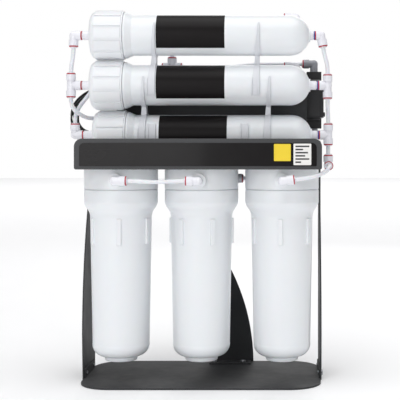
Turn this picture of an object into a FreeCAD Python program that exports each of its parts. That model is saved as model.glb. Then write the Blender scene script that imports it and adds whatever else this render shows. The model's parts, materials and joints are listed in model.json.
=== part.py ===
import FreeCAD, Part
import math
import os

# Reverse osmosis unit: three filter housings hang under a steel deck, three membrane housings lie
# above it in clips, and a booster pump hangs behind them on an upright plate. Millimetres.
# X runs to the right, Y to the rear, Z up. Z = 0 is the underside of the base, X = 0 and Y = 0 lie
# on the axis of the middle filter.

Vector = FreeCAD.Vector
EAST, WEST = (1, 0, 0), (-1, 0, 0)
REAR, FRONT = (0, 1, 0), (0, -1, 0)
UP, DOWN = (0, 0, 1), (0, 0, -1)

# ---- frame -------------------------------------------------------------------------------------
SHEET = 2.0                     # steel sheet of the frame
BASE_HALF = 185.0               # half the base's width
BASE_FRONT, BASE_REAR = -60.0, 150.0
BASE_CORNER = 50.0
BASE_SHEET = 2.5
SIDE_FRONT, SIDE_REAR = 10.0, 113.0     # where the side plates stand on the base
SIDE_NECK = 50.0                # front edge of a side plate behind the filters
FLANGE = 16.0                   # height of the base's turned-up flanges
DECK_TOP = 340.0
DECK_FRONT, DECK_REAR = -70.0, 115.0
DECK_FLANGE = 32.0              # height of the deck's turned-up flanges
FRAME_SCREW_R = 2.5
SCREW_GAP = 0.05                # radial gap between a screw and its hole
SCREW_HEAD_R, SCREW_HEAD_T = 4.6, 2.6

# ---- front panel -------------------------------------------------------------------------------
PANEL_HALF = 184.5
PANEL_LOW, PANEL_HIGH = 331.0, 377.0
PANEL_CORNER, PANEL_FOOT_CORNER = 12.0, 3.0
LABEL_SIDE_BORDER, LABEL_TOP_BORDER, LABEL_FOOT_BORDER = 8.0, 6.5, 5.0
LABEL_THICK = 0.8

# ---- filter housings ---------------------------------------------------------------------------
FILTER_PITCH = 125.0
FILTER_X = [FILTER_PITCH * k for k in (-1, 0, 1)]
HEAD_R = 57.0                   # head and sump collar
HEAD_FOOT, HEAD_TOP = 300.0, DECK_TOP - SHEET
HEAD_WALL = 12.0                # top wall of the head
SPIGOT_R, SPIGOT_FOOT = 50.0, 283.2
SEAM_GAP = 0.4                  # gap between the head and the sump's rim
THREAD_GAP = 0.5                # radial gap between the spigot and the sump's collar
SUMP_TOP = HEAD_FOOT - SEAM_GAP
COLLAR_FOOT = 280.0
NECK_R, NECK_Z = 47.5, 257.0
FOOT_R, FOOT_Z = 44.0, 62.0
BOSS_R, BOSS_Z, SUMP_FOOT = 25.0, 41.0, 34.5
SUMP_WALL = 4.0
RIB_COUNT, RIB_WIDTH, RIB_LOW, RIB_HIGH, RIB_R = 6, 7.5, 216.0, 255.0, 50.0
RIB_PHASE = [4.0, 25.0, -3.0]   # degrees from the front, one per sump
SEAL_R, SEAL_SECTION = 47.6, 1.6
SEAL_GAP = 0.3
CARTRIDGE_R, CARTRIDGE_BORE = 31.0, 13.2
CARTRIDGE_FOOT, CARTRIDGE_TOP = 50.0, 296.0
SEAT_R, PILOT_R, PILOT_HIGH = 20.0, 12.4, 8.0
TUBE_SEAT_R = 12.5              # head's centre spigot inside the cartridge
PORT_Z = 314.0                  # axis of the filter ports
PORT_BOSS_R, PORT_FACE = 11.0, 64.0

# ---- membrane housings -------------------------------------------------------------------------
BODY_R, BODY_WALL = 31.3, 3.3
CAP_R, CAP_GROOVE = 38.5, 1.4   # outer radius over the grip pads, and the depth between them
CAP_PADS = 12
CAP_END, CAP_RIM = -171.0, -119.3
DOME_START, DOME_END = 137.0, 169.0
BRINE_X = 147.0                 # rear port of the dome
BRINE_TILTS = (42.0, 42.0, 135.0)       # its direction, degrees back from straight up
BRINE_FACE, BRINE_CENTRE = 34.0, 42.0   # port face and fitting centre, from the housing's axis
MEMBRANES = [(0.0, 0.0, 538.0), (0.0, 0.0, 460.5), (3.0, 12.0, 383.5)]
PAPER_LOW, PAPER_HIGH = -68.0, 37.0     # ends of the wrap-round label
PAPER_TOP, PAPER_FOOT = 73.0, -43.0     # its edges, degrees above the front
PAPER_THICK = 0.25

# ---- clips between the housings ----------------------------------------------------------------
CLIP_GAP, CLIP_WALL, CLIP_WIDE = 0.15, 3.2, 13.0
CLIP_MOUTH = 60.0               # half the open angle of a clip
CLIP_ARM, CLIP_TIP = 15.0, 2.6  # a double clip narrows from its lowest arms up to its tips
CLIP_SCREW_Y, CLIP_PAD = 17.5, 3.0      # screws either side of a lower clip, through its pad
UPPER_CLIP_X, MIDDLE_CLIP_X, LOWER_CLIP_X = (-76.0, 84.0), (-92.0, 101.0), (-76.0, 67.0)

# ---- push-fit plumbing -------------------------------------------------------------------------
TUBE_R, TUBE_BORE = 3.175, 2.1
FIT_GAP = 0.05
COLLAR_R, ARM_R, COLLAR_LONG = 7.4, 6.3, 9.0
ELBOW_SWELL = 0.2               # the bend stands this much proud of the arms
ARM_STEP = 0.08                 # each further arm of a fitting is this much slimmer
COLLET_R, COLLET_DEEP, COLLET_LIP_R, COLLET_LIP = 4.35, 5.5, 5.7, 1.3
CLIP_RING_R, CLIP_RING_T = 7.0, 1.7
TUBE_STOP = 3.9                 # how near the fitting's centre a tube goes
THREAD_R, THREAD_LONG = 5.6, 6.9
STUB_R = 7.0
FLOW_R = 1.8
CHAMBER_R = 2.9                 # round chamber where a fitting's passages meet
CHAMBER_HALF = 3.2              # half the length of the bored chamber of a tee
LEFT_X, TEE_X = -199.0, -203.0
RIGHT_TOP_X, RIGHT_MID_X = BASE_HALF + 1.0, BASE_HALF + 11.0
RIGHT_LOW_X = BASE_HALF + 12.5
FRONT_Y = -75.0                 # plane of the front fittings
OUTLET_Z = 335.5                # elbow beside the front panel

# ---- pump and electrics ------------------------------------------------------------------------
PLATE_Y = 51.0
PLATE_LEFT, PLATE_RIGHT, PLATE_HIGH = -140.0, 165.0, 480.0
PUMP_Y, PUMP_Z = 105.0, 442.0
MOTOR_R, MOTOR_LEFT, MOTOR_RIGHT = 43.0, 22.0, 150.0
HEAD_RIGHT = 193.0
SHAFT_R, SHAFT_GAP = 4.0, 0.05
PORT_BLOCK = 46.5               # pump ports, above and below its axis
BAND_GAP, BAND_WALL, BAND_WIDE = 0.1, 2.0, 12.0
BAND_X = (48.0, 122.0)
VALVE_X, VALVE_HALF = 40.0, 20.0
SUCTION_Y, SUCTION_X = 75.0, 106.0

BALL_POLE = (0.35, 0.52, 0.78)  # keeps a ball's seam off the arms that cross it
shapes = {}
collets, red_clips, blue_clips = [], [], []


def at(point):
    return Vector(*point)


def cylinder(start, direction, radius, length):
    return Part.makeCylinder(radius, length, at(start), at(direction))


def ball(centre, radius):
    return Part.makeSphere(radius, at(centre), at(BALL_POLE))


def pipe(start, direction, outer, inner, length):
    return cylinder(start, direction, outer, length).cut(cylinder(start, direction, inner, length))


def block(low, high):
    size = [b - a for a, b in zip(low, high)]
    return Part.makeBox(size[0], size[1], size[2], at(low))


def along(point, direction, distance):
    return tuple(p + d * distance for p, d in zip(point, direction))


def fuse(solids):
    first, rest = solids[0], solids[1:]
    return first.multiFuse(rest).removeSplitter() if rest else first


def cut(solid, tools):
    return solid.cut(fuse(tools))


def outline(points, plane):
    """Closed wire through the points; a point given as a pair (middle, end) is reached by an arc."""
    corners = [points[0]]
    edges = []
    for item in points[1:] + [points[0]]:
        start = plane(*corners[-1])
        if isinstance(item[0], tuple):
            middle, end = item
            edges.append(Part.Arc(start, plane(*middle), plane(*end)).toShape())
        else:
            end = item
            if end != corners[-1]:
                edges.append(Part.LineSegment(start, plane(*end)).toShape())
        corners.append(end)
    return Part.Face(Part.Wire(edges))


def turned(points):
    """Solid of revolution about Z from (radius, height) points."""
    face = outline(points, lambda r, z: Vector(r, 0, z))
    return face.revolve(Vector(0, 0, 0), Vector(0, 0, 1), 360)


def laid(points):
    """Solid of revolution about X from (x, radius) points."""
    face = outline(points, lambda x, r: Vector(x, 0, r))
    return face.revolve(Vector(0, 0, 0), Vector(1, 0, 0), 360)


def moved(shape, offset):
    copy = shape.copy()
    copy.translate(at(offset))
    return copy


def keep(name, *solids):
    """Collects the solids of one named piece."""
    flat = []
    for solid in solids:
        flat.extend(solid.Solids)
    shapes.setdefault(name, []).extend(flat)


# ---- tubes -------------------------------------------------------------------------------------
STRAIGHT = 1e-3                 # a turn under this, in radians, counts as straight


def arc_path(points):
    """Straight runs joined by tangent arcs, each as large as its two runs allow."""
    spots = [at(p) for p in points]
    edges = []
    radii = []
    start = spots[0]
    length = 0.0
    for before, corner, after in zip(spots, spots[1:], spots[2:]):
        first, second = corner - before, after - corner
        turn = first.getAngle(second)
        if turn < STRAIGHT:
            continue
        reach = 0.45 * min(first.Length, second.Length)
        radius = reach / math.tan(turn / 2)
        inward = corner - Vector(first).normalize() * reach
        outward = corner + Vector(second).normalize() * reach
        bisector = (Vector(second).normalize() - Vector(first).normalize()).normalize()
        centre = corner + bisector * (radius / math.cos(turn / 2))
        middle = centre - bisector * radius
        edges.append(Part.LineSegment(start, inward).toShape())
        edges.append(Part.Arc(inward, middle, outward).toShape())
        length += (inward - start).Length + radius * turn
        radii.append(radius)
        start = outward
    edges.append(Part.LineSegment(start, spots[-1]).toShape())
    length += (spots[-1] - start).Length
    return Part.Wire(edges), length, radii


def swept(points, radius):
    path, length, radii = arc_path(points)
    direction = at(points[1]) - at(points[0])
    section = Part.Wire(Part.Circle(at(points[0]), direction, radius).toShape())
    solid = path.makePipeShell([section], True, False)
    return solid, length, radii


def tube(name, points):
    """Flexible tube with its bore; prints its length and tightest bend."""
    outer, length, radii = swept(points, TUBE_R)
    bore = swept(points, TUBE_BORE)[0]
    solid = outer.cut(bore)
    expected = math.pi * (TUBE_R ** 2 - TUBE_BORE ** 2) * length
    tightest = min(radii) if radii else 0.0
    print(f"{name}: {length:.0f} mm long, tightest bend {tightest:.0f} mm, "
          f"volume ratio {solid.Volume / expected:.4f}")
    keep(name, solid)


# ---- fittings ----------------------------------------------------------------------------------
def port_parts(centre, direction, reach, colours):
    """Collet and locking clips in the mouth of one push-fit socket."""
    mouth = along(centre, direction, reach)
    neck = CLIP_RING_T * max(1, len(colours))
    inside = along(mouth, direction, -COLLET_DEEP)
    sleeve = cylinder(inside, direction, COLLET_R, COLLET_DEEP + neck + COLLET_LIP)
    lip = cylinder(along(mouth, direction, neck), direction, COLLET_LIP_R, COLLET_LIP)
    bore = cylinder(inside, direction, TUBE_R + FIT_GAP, COLLET_DEEP + neck + COLLET_LIP)
    collets.append(sleeve.fuse(lip).cut(bore))
    for place, colour in enumerate(colours):
        start = along(mouth, direction, CLIP_RING_T * place)
        ring = pipe(start, direction, CLIP_RING_R, COLLET_R + FIT_GAP, CLIP_RING_T)
        side = REAR if abs(direction[1]) < 0.5 else WEST
        across = at(direction).cross(at(side)).normalize()
        slot = Part.makeBox(2 * COLLET_R * 0.8, CLIP_RING_R + 1, CLIP_RING_T + 1)
        slot.translate(Vector(-COLLET_R * 0.8, 0, -0.5))
        turn = FreeCAD.Rotation(across, at(side), at(direction), "ZYX")
        slot.Placement = FreeCAD.Placement(at(start), turn).multiply(slot.Placement)
        ring = ring.cut(slot)
        (red_clips if colour == "red" else blue_clips).append(ring)


def socket_cuts(centre, direction, reach):
    mouth = along(centre, direction, reach)
    back = tuple(-d for d in direction)
    depth = reach - TUBE_STOP
    return [cylinder(mouth, back, TUBE_R + FIT_GAP, min(depth, 15.0)),
            cylinder(mouth, back, COLLET_R + FIT_GAP, COLLET_DEEP + FIT_GAP),
            cylinder(mouth, back, FLOW_R, reach - FLOW_R - 0.1)]


def chamber(centre, ports):
    """Where the passages meet: round in an elbow, a short bore along the run of a tee."""
    if len(ports) < 3:
        return ball(centre, CHAMBER_R)
    run = ports[1][0]
    return cylinder(along(centre, run, -CHAMBER_HALF), run, CHAMBER_R, 2 * CHAMBER_HALF)


def fitting(name, centre, ports, threads=(), extra=(), rise=0.0):
    """Push-fit body. ports: (direction, reach, clip colours); threads: (direction, reach).

    rise turns the finished fitting about the Y axis through its centre, in degrees.
    """
    piles = [(pile, len(pile)) for pile in (collets, red_clips, blue_clips)]
    solids = [ball(centre, ARM_R + ELBOW_SWELL)] + list(extra)
    cuts = [chamber(centre, ports)]
    for place, (direction, reach, colours) in enumerate(ports):
        collar = min(COLLAR_LONG, reach - 1.0)
        solids.append(cylinder(centre, direction, ARM_R - ARM_STEP * place, reach))
        start = along(centre, direction, reach - collar)
        solids.append(cylinder(start, direction, COLLAR_R, collar))
        cuts.extend(socket_cuts(centre, direction, reach))
        port_parts(centre, direction, reach, colours)
    for direction, reach in threads:
        solids.append(cylinder(centre, direction, ARM_R, reach))
        solids.append(cylinder(centre, direction, THREAD_R, reach + THREAD_LONG))
        passage = reach + THREAD_LONG - FLOW_R - 0.1
        cuts.append(cylinder(along(centre, direction, FLOW_R + 0.1), direction, FLOW_R, passage))
    body = cut(fuse(solids), cuts)
    if rise:
        loose = [piece for pile, count in piles for piece in pile[count:]]
        for piece in [body] + loose:
            piece.rotate(at(centre), Vector(0, 1, 0), -rise)
    keep(name, body)


def port_bore(face, inward, through):
    """Threaded port: the wide bore, and the flow passage on to the inside."""
    return [cylinder(face, inward, THREAD_R + FIT_GAP, THREAD_LONG + 0.3),
            cylinder(face, inward, FLOW_R, through)]


def stub(face, direction, collar, stem_end):
    """Adaptor screwed into a port, with a stem that a push-fit socket grips."""
    inward = tuple(-d for d in direction)
    solid = fuse([cylinder(face, inward, THREAD_R, THREAD_LONG),
                  cylinder(face, direction, STUB_R, collar),
                  cylinder(face, direction, TUBE_R, stem_end)])
    start = along(face, inward, THREAD_LONG)
    keep("port_adapters", solid.cut(cylinder(start, direction, FLOW_R, THREAD_LONG + stem_end)))


# ---- screws ------------------------------------------------------------------------------------
def screw(name, face, direction, length, radius=FRAME_SCREW_R):
    """Pan-head screw whose head rests on the face and whose shank runs along direction."""
    back = tuple(-d for d in direction)
    shank = cylinder(face, direction, radius, length)
    head = cylinder(face, back, SCREW_HEAD_R, SCREW_HEAD_T)
    head = head.makeFillet(1.2, [head.Edges[0] if head.Edges[0].CenterOfMass.sub(at(face)).Length
                                 > SCREW_HEAD_T / 2 else head.Edges[2]])
    drive = Part.makeBox(5.4, 1.0, 1.2, Vector(-2.7, -0.5, 0))
    cross = drive.fuse(Part.makeBox(1.0, 5.4, 1.2, Vector(-0.5, -2.7, 0)))
    top = along(face, back, SCREW_HEAD_T + 0.01)
    cross.Placement = FreeCAD.Placement(at(top), FreeCAD.Rotation(Vector(0, 0, 1), at(direction)))
    keep(name, shank.fuse(head.cut(cross)))


def screw_hole(face, direction, length, radius=FRAME_SCREW_R):
    return cylinder(face, direction, radius + SCREW_GAP, length)


# ---- frame -------------------------------------------------------------------------------------
def plate_xy(points, low, thick):
    return outline(points, lambda x, y: Vector(x, y, low)).extrude(Vector(0, 0, thick))


def corner(centre, radius, start, end):
    """Arc of a rounded corner as (middle, end), from its angles in degrees."""
    half = math.radians((start + end) / 2)
    stop = math.radians(end)
    middle = (centre[0] + radius * math.cos(half), centre[1] + radius * math.sin(half))
    return middle, (centre[0] + radius * math.cos(stop), centre[1] + radius * math.sin(stop))


SIDE_SCREW_Y = (SIDE_FRONT + 18.0, SIDE_REAR - 14.0)
DECK_SCREW_Y = (SIDE_NECK + 14.0, SIDE_REAR - 12.0)
DECK_SCREW_Z = DECK_TOP + 18.0
BASE_SCREW_Z = 9.0
LEG_X, LEG_TOP_X = 4.0, 36.0
LEG_FOOT_X, LEG_WAIST_X, LEG_WAIST_Z = 77.0, 38.0, 160.0
LEG_ARC_R = 347.0
LEG_TAB = 30.0
LEG_SCREW_X = (12.0, 60.0)
LEG_TOP_SCREW_X = (11.0, 29.0)
HOLDER_X = (-130.0, 0.0, 156.0)
PANEL_STUD_X = (-150.0, -50.0, 50.0, 150.0)
PANEL_STUD_Z = DECK_TOP + 16.0
HEAD_BOLT_RING = 30.0


def base_plate():
    inner = BASE_HALF - BASE_CORNER
    low, high = BASE_FRONT + BASE_CORNER, BASE_REAR - BASE_CORNER
    plate = plate_xy([(-inner, BASE_FRONT), (inner, BASE_FRONT),
                      corner((inner, low), BASE_CORNER, -90, 0), (BASE_HALF, high),
                      corner((inner, high), BASE_CORNER, 0, 90), (-inner, BASE_REAR),
                      corner((-inner, high), BASE_CORNER, 90, 180), (-BASE_HALF, low),
                      corner((-inner, low), BASE_CORNER, 180, 270)], 0, BASE_SHEET)
    solids = [plate]
    holes = []
    flange_front, flange_rear = SIDE_FRONT + 3, BASE_REAR - BASE_CORNER - 2
    for side in (-1, 1):
        inside = side * (BASE_HALF - SHEET)
        edges = sorted((inside, side * BASE_HALF))
        solids.append(block((edges[0], flange_front, 0), (edges[1], flange_rear, FLANGE)))
        for y in base_screw_rows():
            holes.append(screw_hole((side * (BASE_HALF + 1), y, BASE_SCREW_Z),
                                    (-side, 0, 0), SHEET + 3))
    for x in LEG_SCREW_X:
        holes.append(screw_hole((x, BASE_REAR - LEG_TAB / 2, BASE_SHEET + 1), DOWN, BASE_SHEET + 3))
    keep("base_plate", cut(fuse(solids), holes))


def base_screw_rows():
    return (SIDE_FRONT + 16.0, BASE_REAR - BASE_CORNER - 14.0)


def side_plates():
    """Upright sheets: wide at the foot, and swept back behind the filters to the deck."""
    top = DECK_TOP + DECK_FLANGE + 3
    profile = [(SIDE_FRONT, 0.5), (SIDE_REAR, 0.5), (SIDE_REAR, top - 8),
               corner((SIDE_REAR - 8, top - 8), 8, 0, 90), (SIDE_NECK + 8, top),
               corner((SIDE_NECK + 8, top - 8), 8, 90, 180), (SIDE_NECK, 262.0),
               ((SIDE_FRONT + 8, 172.0), (SIDE_FRONT - 5, 72.0))]
    for side, name in ((-1, "left_side_plate"), (1, "right_side_plate")):
        face = side * BASE_HALF
        low = min(face, face + side * SHEET)
        plate = outline(profile, lambda y, z: Vector(low, y, z)).extrude(Vector(SHEET, 0, 0))
        holes = []
        for y in base_screw_rows():
            holes.append(screw_hole((face + side * 3, y, BASE_SCREW_Z), (-side, 0, 0), 5))
        for y in DECK_SCREW_Y:
            holes.append(screw_hole((face + side * 3, y, DECK_SCREW_Z), (-side, 0, 0), 5))
        keep(name, cut(plate, holes))
        head = face + side * SHEET
        for y in base_screw_rows():
            screw("frame_screws", (head, y, BASE_SCREW_Z), (-side, 0, 0), 5.5)
        for y in DECK_SCREW_Y:
            screw("frame_screws", (head, y, DECK_SCREW_Z), (-side, 0, 0), 5.5)


def rear_leg():
    """Sheet leg at the back of the base, with a curved right edge and a tab at each end."""
    rear = BASE_REAR
    low = BASE_SHEET
    high = DECK_TOP - SHEET
    centre_x = LEG_FOOT_X - LEG_ARC_R
    mid_z = LEG_WAIST_Z / 2
    mid_x = centre_x + math.sqrt(LEG_ARC_R ** 2 - mid_z ** 2)
    profile = [(LEG_X, low), (LEG_FOOT_X, low), ((mid_x, mid_z), (LEG_WAIST_X, LEG_WAIST_Z)),
               (LEG_TOP_X, high), (LEG_X, high)]
    face = outline(profile, lambda x, z: Vector(x, rear - SHEET, z))
    sheet = face.extrude(Vector(0, SHEET, 0))
    foot = block((LEG_X, rear - LEG_TAB, low), (LEG_FOOT_X - 4, rear, low + SHEET))
    head = block((LEG_X, rear - LEG_TAB, high - SHEET), (LEG_TOP_X, rear, high))
    holes = []
    for x in LEG_SCREW_X:
        holes.append(screw_hole((x, rear - LEG_TAB / 2, low + SHEET + 1), DOWN, SHEET + 2))
        screw("frame_screws", (x, rear - LEG_TAB / 2, low + SHEET), DOWN, SHEET + BASE_SHEET - 0.5)
    for x in LEG_TOP_SCREW_X:
        holes.append(screw_hole((x, rear - LEG_TAB / 2, high + 1), DOWN, SHEET + 2))
        screw("frame_screws", (x, rear - LEG_TAB / 2, DECK_TOP), DOWN, 2 * SHEET + 2)
    keep("rear_leg", cut(fuse([sheet, foot, head]), holes))


def top_deck():
    """Deck over the filter heads, folded up at the front and at both sides."""
    low = DECK_TOP - SHEET
    inner = BASE_HALF - SHEET
    solids = [block((-inner, DECK_FRONT, low), (inner, DECK_REAR, DECK_TOP)),
              block((LEG_X - 2, DECK_REAR, low), (LEG_TOP_X + 2, BASE_REAR, DECK_TOP)),
              block((-inner, DECK_FRONT - SHEET, low), (inner, DECK_FRONT, DECK_TOP + DECK_FLANGE))]
    holes = [cylinder((SUCTION_X, SUCTION_Y, low - 1), UP, COLLAR_R + 2.5, SHEET + 2)]
    for side in (-1, 1):
        edges = sorted((side * inner, side * BASE_HALF))
        solids.append(block((edges[0], SIDE_NECK + 2, low),
                            (edges[1], SIDE_REAR - 2, DECK_TOP + DECK_FLANGE)))
        for y in DECK_SCREW_Y:
            holes.append(screw_hole((side * (BASE_HALF + 1), y, DECK_SCREW_Z), (-side, 0, 0), 5))
    for x in LEG_TOP_SCREW_X:
        holes.append(screw_hole((x, BASE_REAR - LEG_TAB / 2, DECK_TOP + 1), DOWN, SHEET + 2))
    for x in PANEL_STUD_X:
        holes.append(screw_hole((x, DECK_FRONT + 1, PANEL_STUD_Z), FRONT, SHEET + 2))
        screw("frame_screws", (x, DECK_FRONT, PANEL_STUD_Z), FRONT, SHEET + 1.6)
    for centre in FILTER_X:
        for x, y in head_bolts(centre):
            holes.append(screw_hole((x, y, DECK_TOP + 1), DOWN, SHEET + 2))
            screw("frame_screws", (x, y, DECK_TOP), DOWN, SHEET + 9)
    for x in HOLDER_X:
        spot = (x, PLATE_Y + 12, DECK_TOP + SHEET)
        holes.append(screw_hole(along(spot, UP, 1), DOWN, 2 * SHEET + 2))
        screw("frame_screws", spot, DOWN, 2 * SHEET + 1.5)
    for x in LOWER_CLIP_X:
        for y in clip_screw_rows():
            holes.append(screw_hole((x, y, low - 1), UP, SHEET + 2))
    keep("top_deck", cut(fuse(solids), holes))


def head_bolts(centre):
    spots = []
    for quarter in range(4):
        turn = math.radians(45 + 90 * quarter)
        spots.append((centre + HEAD_BOLT_RING * math.cos(turn), HEAD_BOLT_RING * math.sin(turn)))
    return spots


def front_panel():
    rear = DECK_FRONT - SHEET
    front = rear - SHEET

    def sheet(left, right, low, high, radius, foot, face, thick):
        profile = [(left + foot, low), (right - foot, low),
                   corner((right - foot, low + foot), foot, -90, 0), (right, high - radius),
                   corner((right - radius, high - radius), radius, 0, 90), (left + radius, high),
                   corner((left + radius, high - radius), radius, 90, 180), (left, low + foot),
                   corner((left + foot, low + foot), foot, 180, 270)]
        plane = outline(profile, lambda x, z: Vector(x, face, z))
        return plane.extrude(Vector(0, thick, 0))

    panel = sheet(-PANEL_HALF, PANEL_HALF, PANEL_LOW, PANEL_HIGH, PANEL_CORNER, PANEL_FOOT_CORNER,
                  front, SHEET)
    studs = [screw_hole((x, rear + 0.1, PANEL_STUD_Z), FRONT, 1.8) for x in PANEL_STUD_X]
    keep("front_panel", cut(panel, studs))
    side = PANEL_HALF - LABEL_SIDE_BORDER
    keep("panel_label", sheet(-side, side, PANEL_LOW + LABEL_FOOT_BORDER,
                              PANEL_HIGH - LABEL_TOP_BORDER, PANEL_CORNER - 5, 1.5,
                              front - LABEL_THICK, LABEL_THICK))


# ---- filters -----------------------------------------------------------------------------------
def filter_head(number, centre):
    cavity = NECK_R - SUMP_WALL + 0.5
    ceiling = HEAD_TOP - HEAD_WALL
    shell = turned([(0, SPIGOT_FOOT), (SPIGOT_R, SPIGOT_FOOT), (SPIGOT_R, HEAD_FOOT),
                    (HEAD_R, HEAD_FOOT), (HEAD_R, HEAD_TOP - 4),
                    ((HEAD_R - 1.2, HEAD_TOP - 1.2), (HEAD_R - 4, HEAD_TOP)), (0, HEAD_TOP)])
    bosses = [cylinder((0, 0, PORT_Z), direction, PORT_BOSS_R, PORT_FACE)
              for direction in (FRONT, REAR)]
    shell = cut(fuse([shell] + bosses), [cylinder((0, 0, SPIGOT_FOOT - 1), UP, cavity,
                                                  ceiling - SPIGOT_FOOT + 1)])
    core = cylinder((0, 0, CARTRIDGE_TOP - 8), UP, TUBE_SEAT_R, ceiling - CARTRIDGE_TOP + 9)
    bridge = cylinder((0, 0, PORT_Z), REAR, THREAD_R + 1.5, cavity + 1)
    cuts = [cylinder((0, 0, CARTRIDGE_TOP - 9), UP, TUBE_SEAT_R - 4, PORT_Z - CARTRIDGE_TOP + 12),
            cylinder((0, 0, PORT_Z), REAR, FLOW_R + 1, PORT_FACE)]
    cuts += port_bore((0, -PORT_FACE, PORT_Z), REAR, PORT_FACE - cavity + 1)
    cuts += port_bore((0, PORT_FACE, PORT_Z), FRONT, PORT_FACE - cavity + 1)
    for x, y in head_bolts(0):
        cuts.append(screw_hole((x, y, HEAD_TOP + 1), DOWN, 10.5))
    solid = cut(fuse([shell, core, bridge]), cuts)
    keep(f"filter_head_{number}", moved(solid, (centre, 0, 0)))


def sump(number, centre, phase):
    """Threaded bowl with a wide collar, six grip ribs, a domed foot and a seat for the cartridge."""
    wall = SUMP_WALL
    ledge = SEAL_GAP + SEAL_SECTION
    ledge_z = SPIGOT_FOOT - SEAL_GAP - 2 * SEAL_SECTION - SEAL_GAP
    bore = SPIGOT_R + THREAD_GAP
    neck_in = NECK_R - wall
    outer = [(0, SUMP_FOOT), (BOSS_R - 2, SUMP_FOOT),
             ((BOSS_R - 0.6, SUMP_FOOT + 0.6), (BOSS_R, SUMP_FOOT + 2)), (BOSS_R, BOSS_Z),
             ((FOOT_R - 4.4, BOSS_Z + 6.4), (FOOT_R, FOOT_Z)), (NECK_R, NECK_Z),
             ((NECK_R + 1.2, NECK_Z + 6), (NECK_R + 4.5, NECK_Z + 12)),
             ((HEAD_R - 1.4, COLLAR_FOOT - 5), (HEAD_R, COLLAR_FOOT)), (HEAD_R, SUMP_TOP - 1.5),
             (HEAD_R - 1.5, SUMP_TOP), (bore, SUMP_TOP), (bore, ledge_z),
             (SEAL_R - ledge, ledge_z), (neck_in, NECK_Z - 2), (FOOT_R - wall, FOOT_Z + 1),
             ((FOOT_R - wall - 5, BOSS_Z + 9), (BOSS_R - 1, BOSS_Z + 4.5)), (0, BOSS_Z + 4.5)]
    body = turned(outer)
    floor_z = BOSS_Z + 4.0
    seat = cylinder((0, 0, floor_z), UP, SEAT_R, CARTRIDGE_FOOT - floor_z)
    pilot = cylinder((0, 0, floor_z), UP, PILOT_R, CARTRIDGE_FOOT - floor_z + PILOT_HIGH)
    ribs = []
    for step in range(RIB_COUNT):
        angle = phase + 360 * step / RIB_COUNT - 90
        rib = block((NECK_R - 3, -RIB_WIDTH / 2, RIB_LOW), (RIB_R, RIB_WIDTH / 2, RIB_HIGH))
        upper = [edge for edge in rib.Edges if abs(edge.CenterOfMass.x - RIB_R) < 0.01]
        rib = rib.makeFillet(0.9, upper)
        rib.rotate(Vector(0, 0, 0), Vector(0, 0, 1), angle)
        ribs.append(rib)
    solid = fuse([body, seat, pilot] + ribs)
    keep(f"sump_{number}", moved(solid, (centre, 0, 0)))


def sump_seal(number, centre):
    height = SPIGOT_FOOT - SEAL_GAP - SEAL_SECTION
    ring = Part.makeTorus(SEAL_R, SEAL_SECTION, Vector(centre, 0, height), Vector(0, 0, 1))
    keep(f"sump_seal_{number}", ring)


def cartridge(number, centre):
    """Filter candle: a porous sleeve with a moulded cap at each end, one piece as bought."""
    cap = 9.0
    solid = turned([(CARTRIDGE_BORE, CARTRIDGE_FOOT), (CARTRIDGE_R, CARTRIDGE_FOOT),
                    (CARTRIDGE_R, CARTRIDGE_FOOT + cap), (CARTRIDGE_R - 1.5, CARTRIDGE_FOOT + cap),
                    (CARTRIDGE_R - 1.5, CARTRIDGE_TOP - cap), (CARTRIDGE_R, CARTRIDGE_TOP - cap),
                    (CARTRIDGE_R, CARTRIDGE_TOP), (CARTRIDGE_BORE, CARTRIDGE_TOP)])
    keep(f"cartridge_{number}", moved(solid, (centre, 0, 0)))


# ---- membranes ---------------------------------------------------------------------------------
CAP_FOLD = 10.0                 # radius of the cap's rounded end
CAP_BACK = 8.0                  # thickness of its end wall
CAP_THREAD_R, CAP_THREAD_END = 34.0, -138.0
NECK_FLANGE_R, NECK_CONE_END = 36.0, -106.0
ELEMENT_R, CORE_R = BODY_R - BODY_WALL - 4.5, 8.0
CAP_SEAL_SECTION = 1.4


def brine_direction(number):
    tilt = math.radians(BRINE_TILTS[number - 1])
    return (0, math.sin(tilt), math.cos(tilt))


def membrane_housing(number, place):
    bore = BODY_R - BODY_WALL
    turn = math.radians(36)
    knee = (DOME_START + BODY_R * math.sin(turn), BODY_R * math.cos(turn))
    inner_knee = (DOME_START - 1 + bore * math.sin(turn), bore * math.cos(turn))
    inner_end = DOME_END - 9
    crown = math.sqrt(bore ** 2 - (inner_end - DOME_START + 1) ** 2)
    outer = laid([(CAP_THREAD_END, 0), (CAP_THREAD_END, CAP_THREAD_R),
                  (CAP_RIM + 0.8, CAP_THREAD_R), (CAP_RIM + 0.8, NECK_FLANGE_R),
                  (CAP_RIM + 3.2, NECK_FLANGE_R), (NECK_CONE_END, BODY_R), (DOME_START, BODY_R),
                  (knee, (DOME_END - 2, STUB_R + 3)), (DOME_END, STUB_R + 3), (DOME_END, 0)])
    inner = laid([(CAP_THREAD_END - 1, 0), (CAP_THREAD_END - 1, bore), (DOME_START - 1, bore),
                  (inner_knee, (inner_end, crown)), (inner_end, 0)])
    brine = brine_direction(number)
    inward = tuple(-d for d in brine)
    boss = cylinder((BRINE_X, 0, 0), brine, STUB_R + 2.5, BRINE_FACE)
    solid = fuse([outer, boss]).cut(inner)
    cuts = port_bore((DOME_END, 0, 0), WEST, 12)
    face = along((BRINE_X, 0, 0), brine, BRINE_FACE)
    cuts += port_bore(face, inward, 16)
    keep(f"membrane_housing_{number}", moved(cut(solid, cuts), place))


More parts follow.
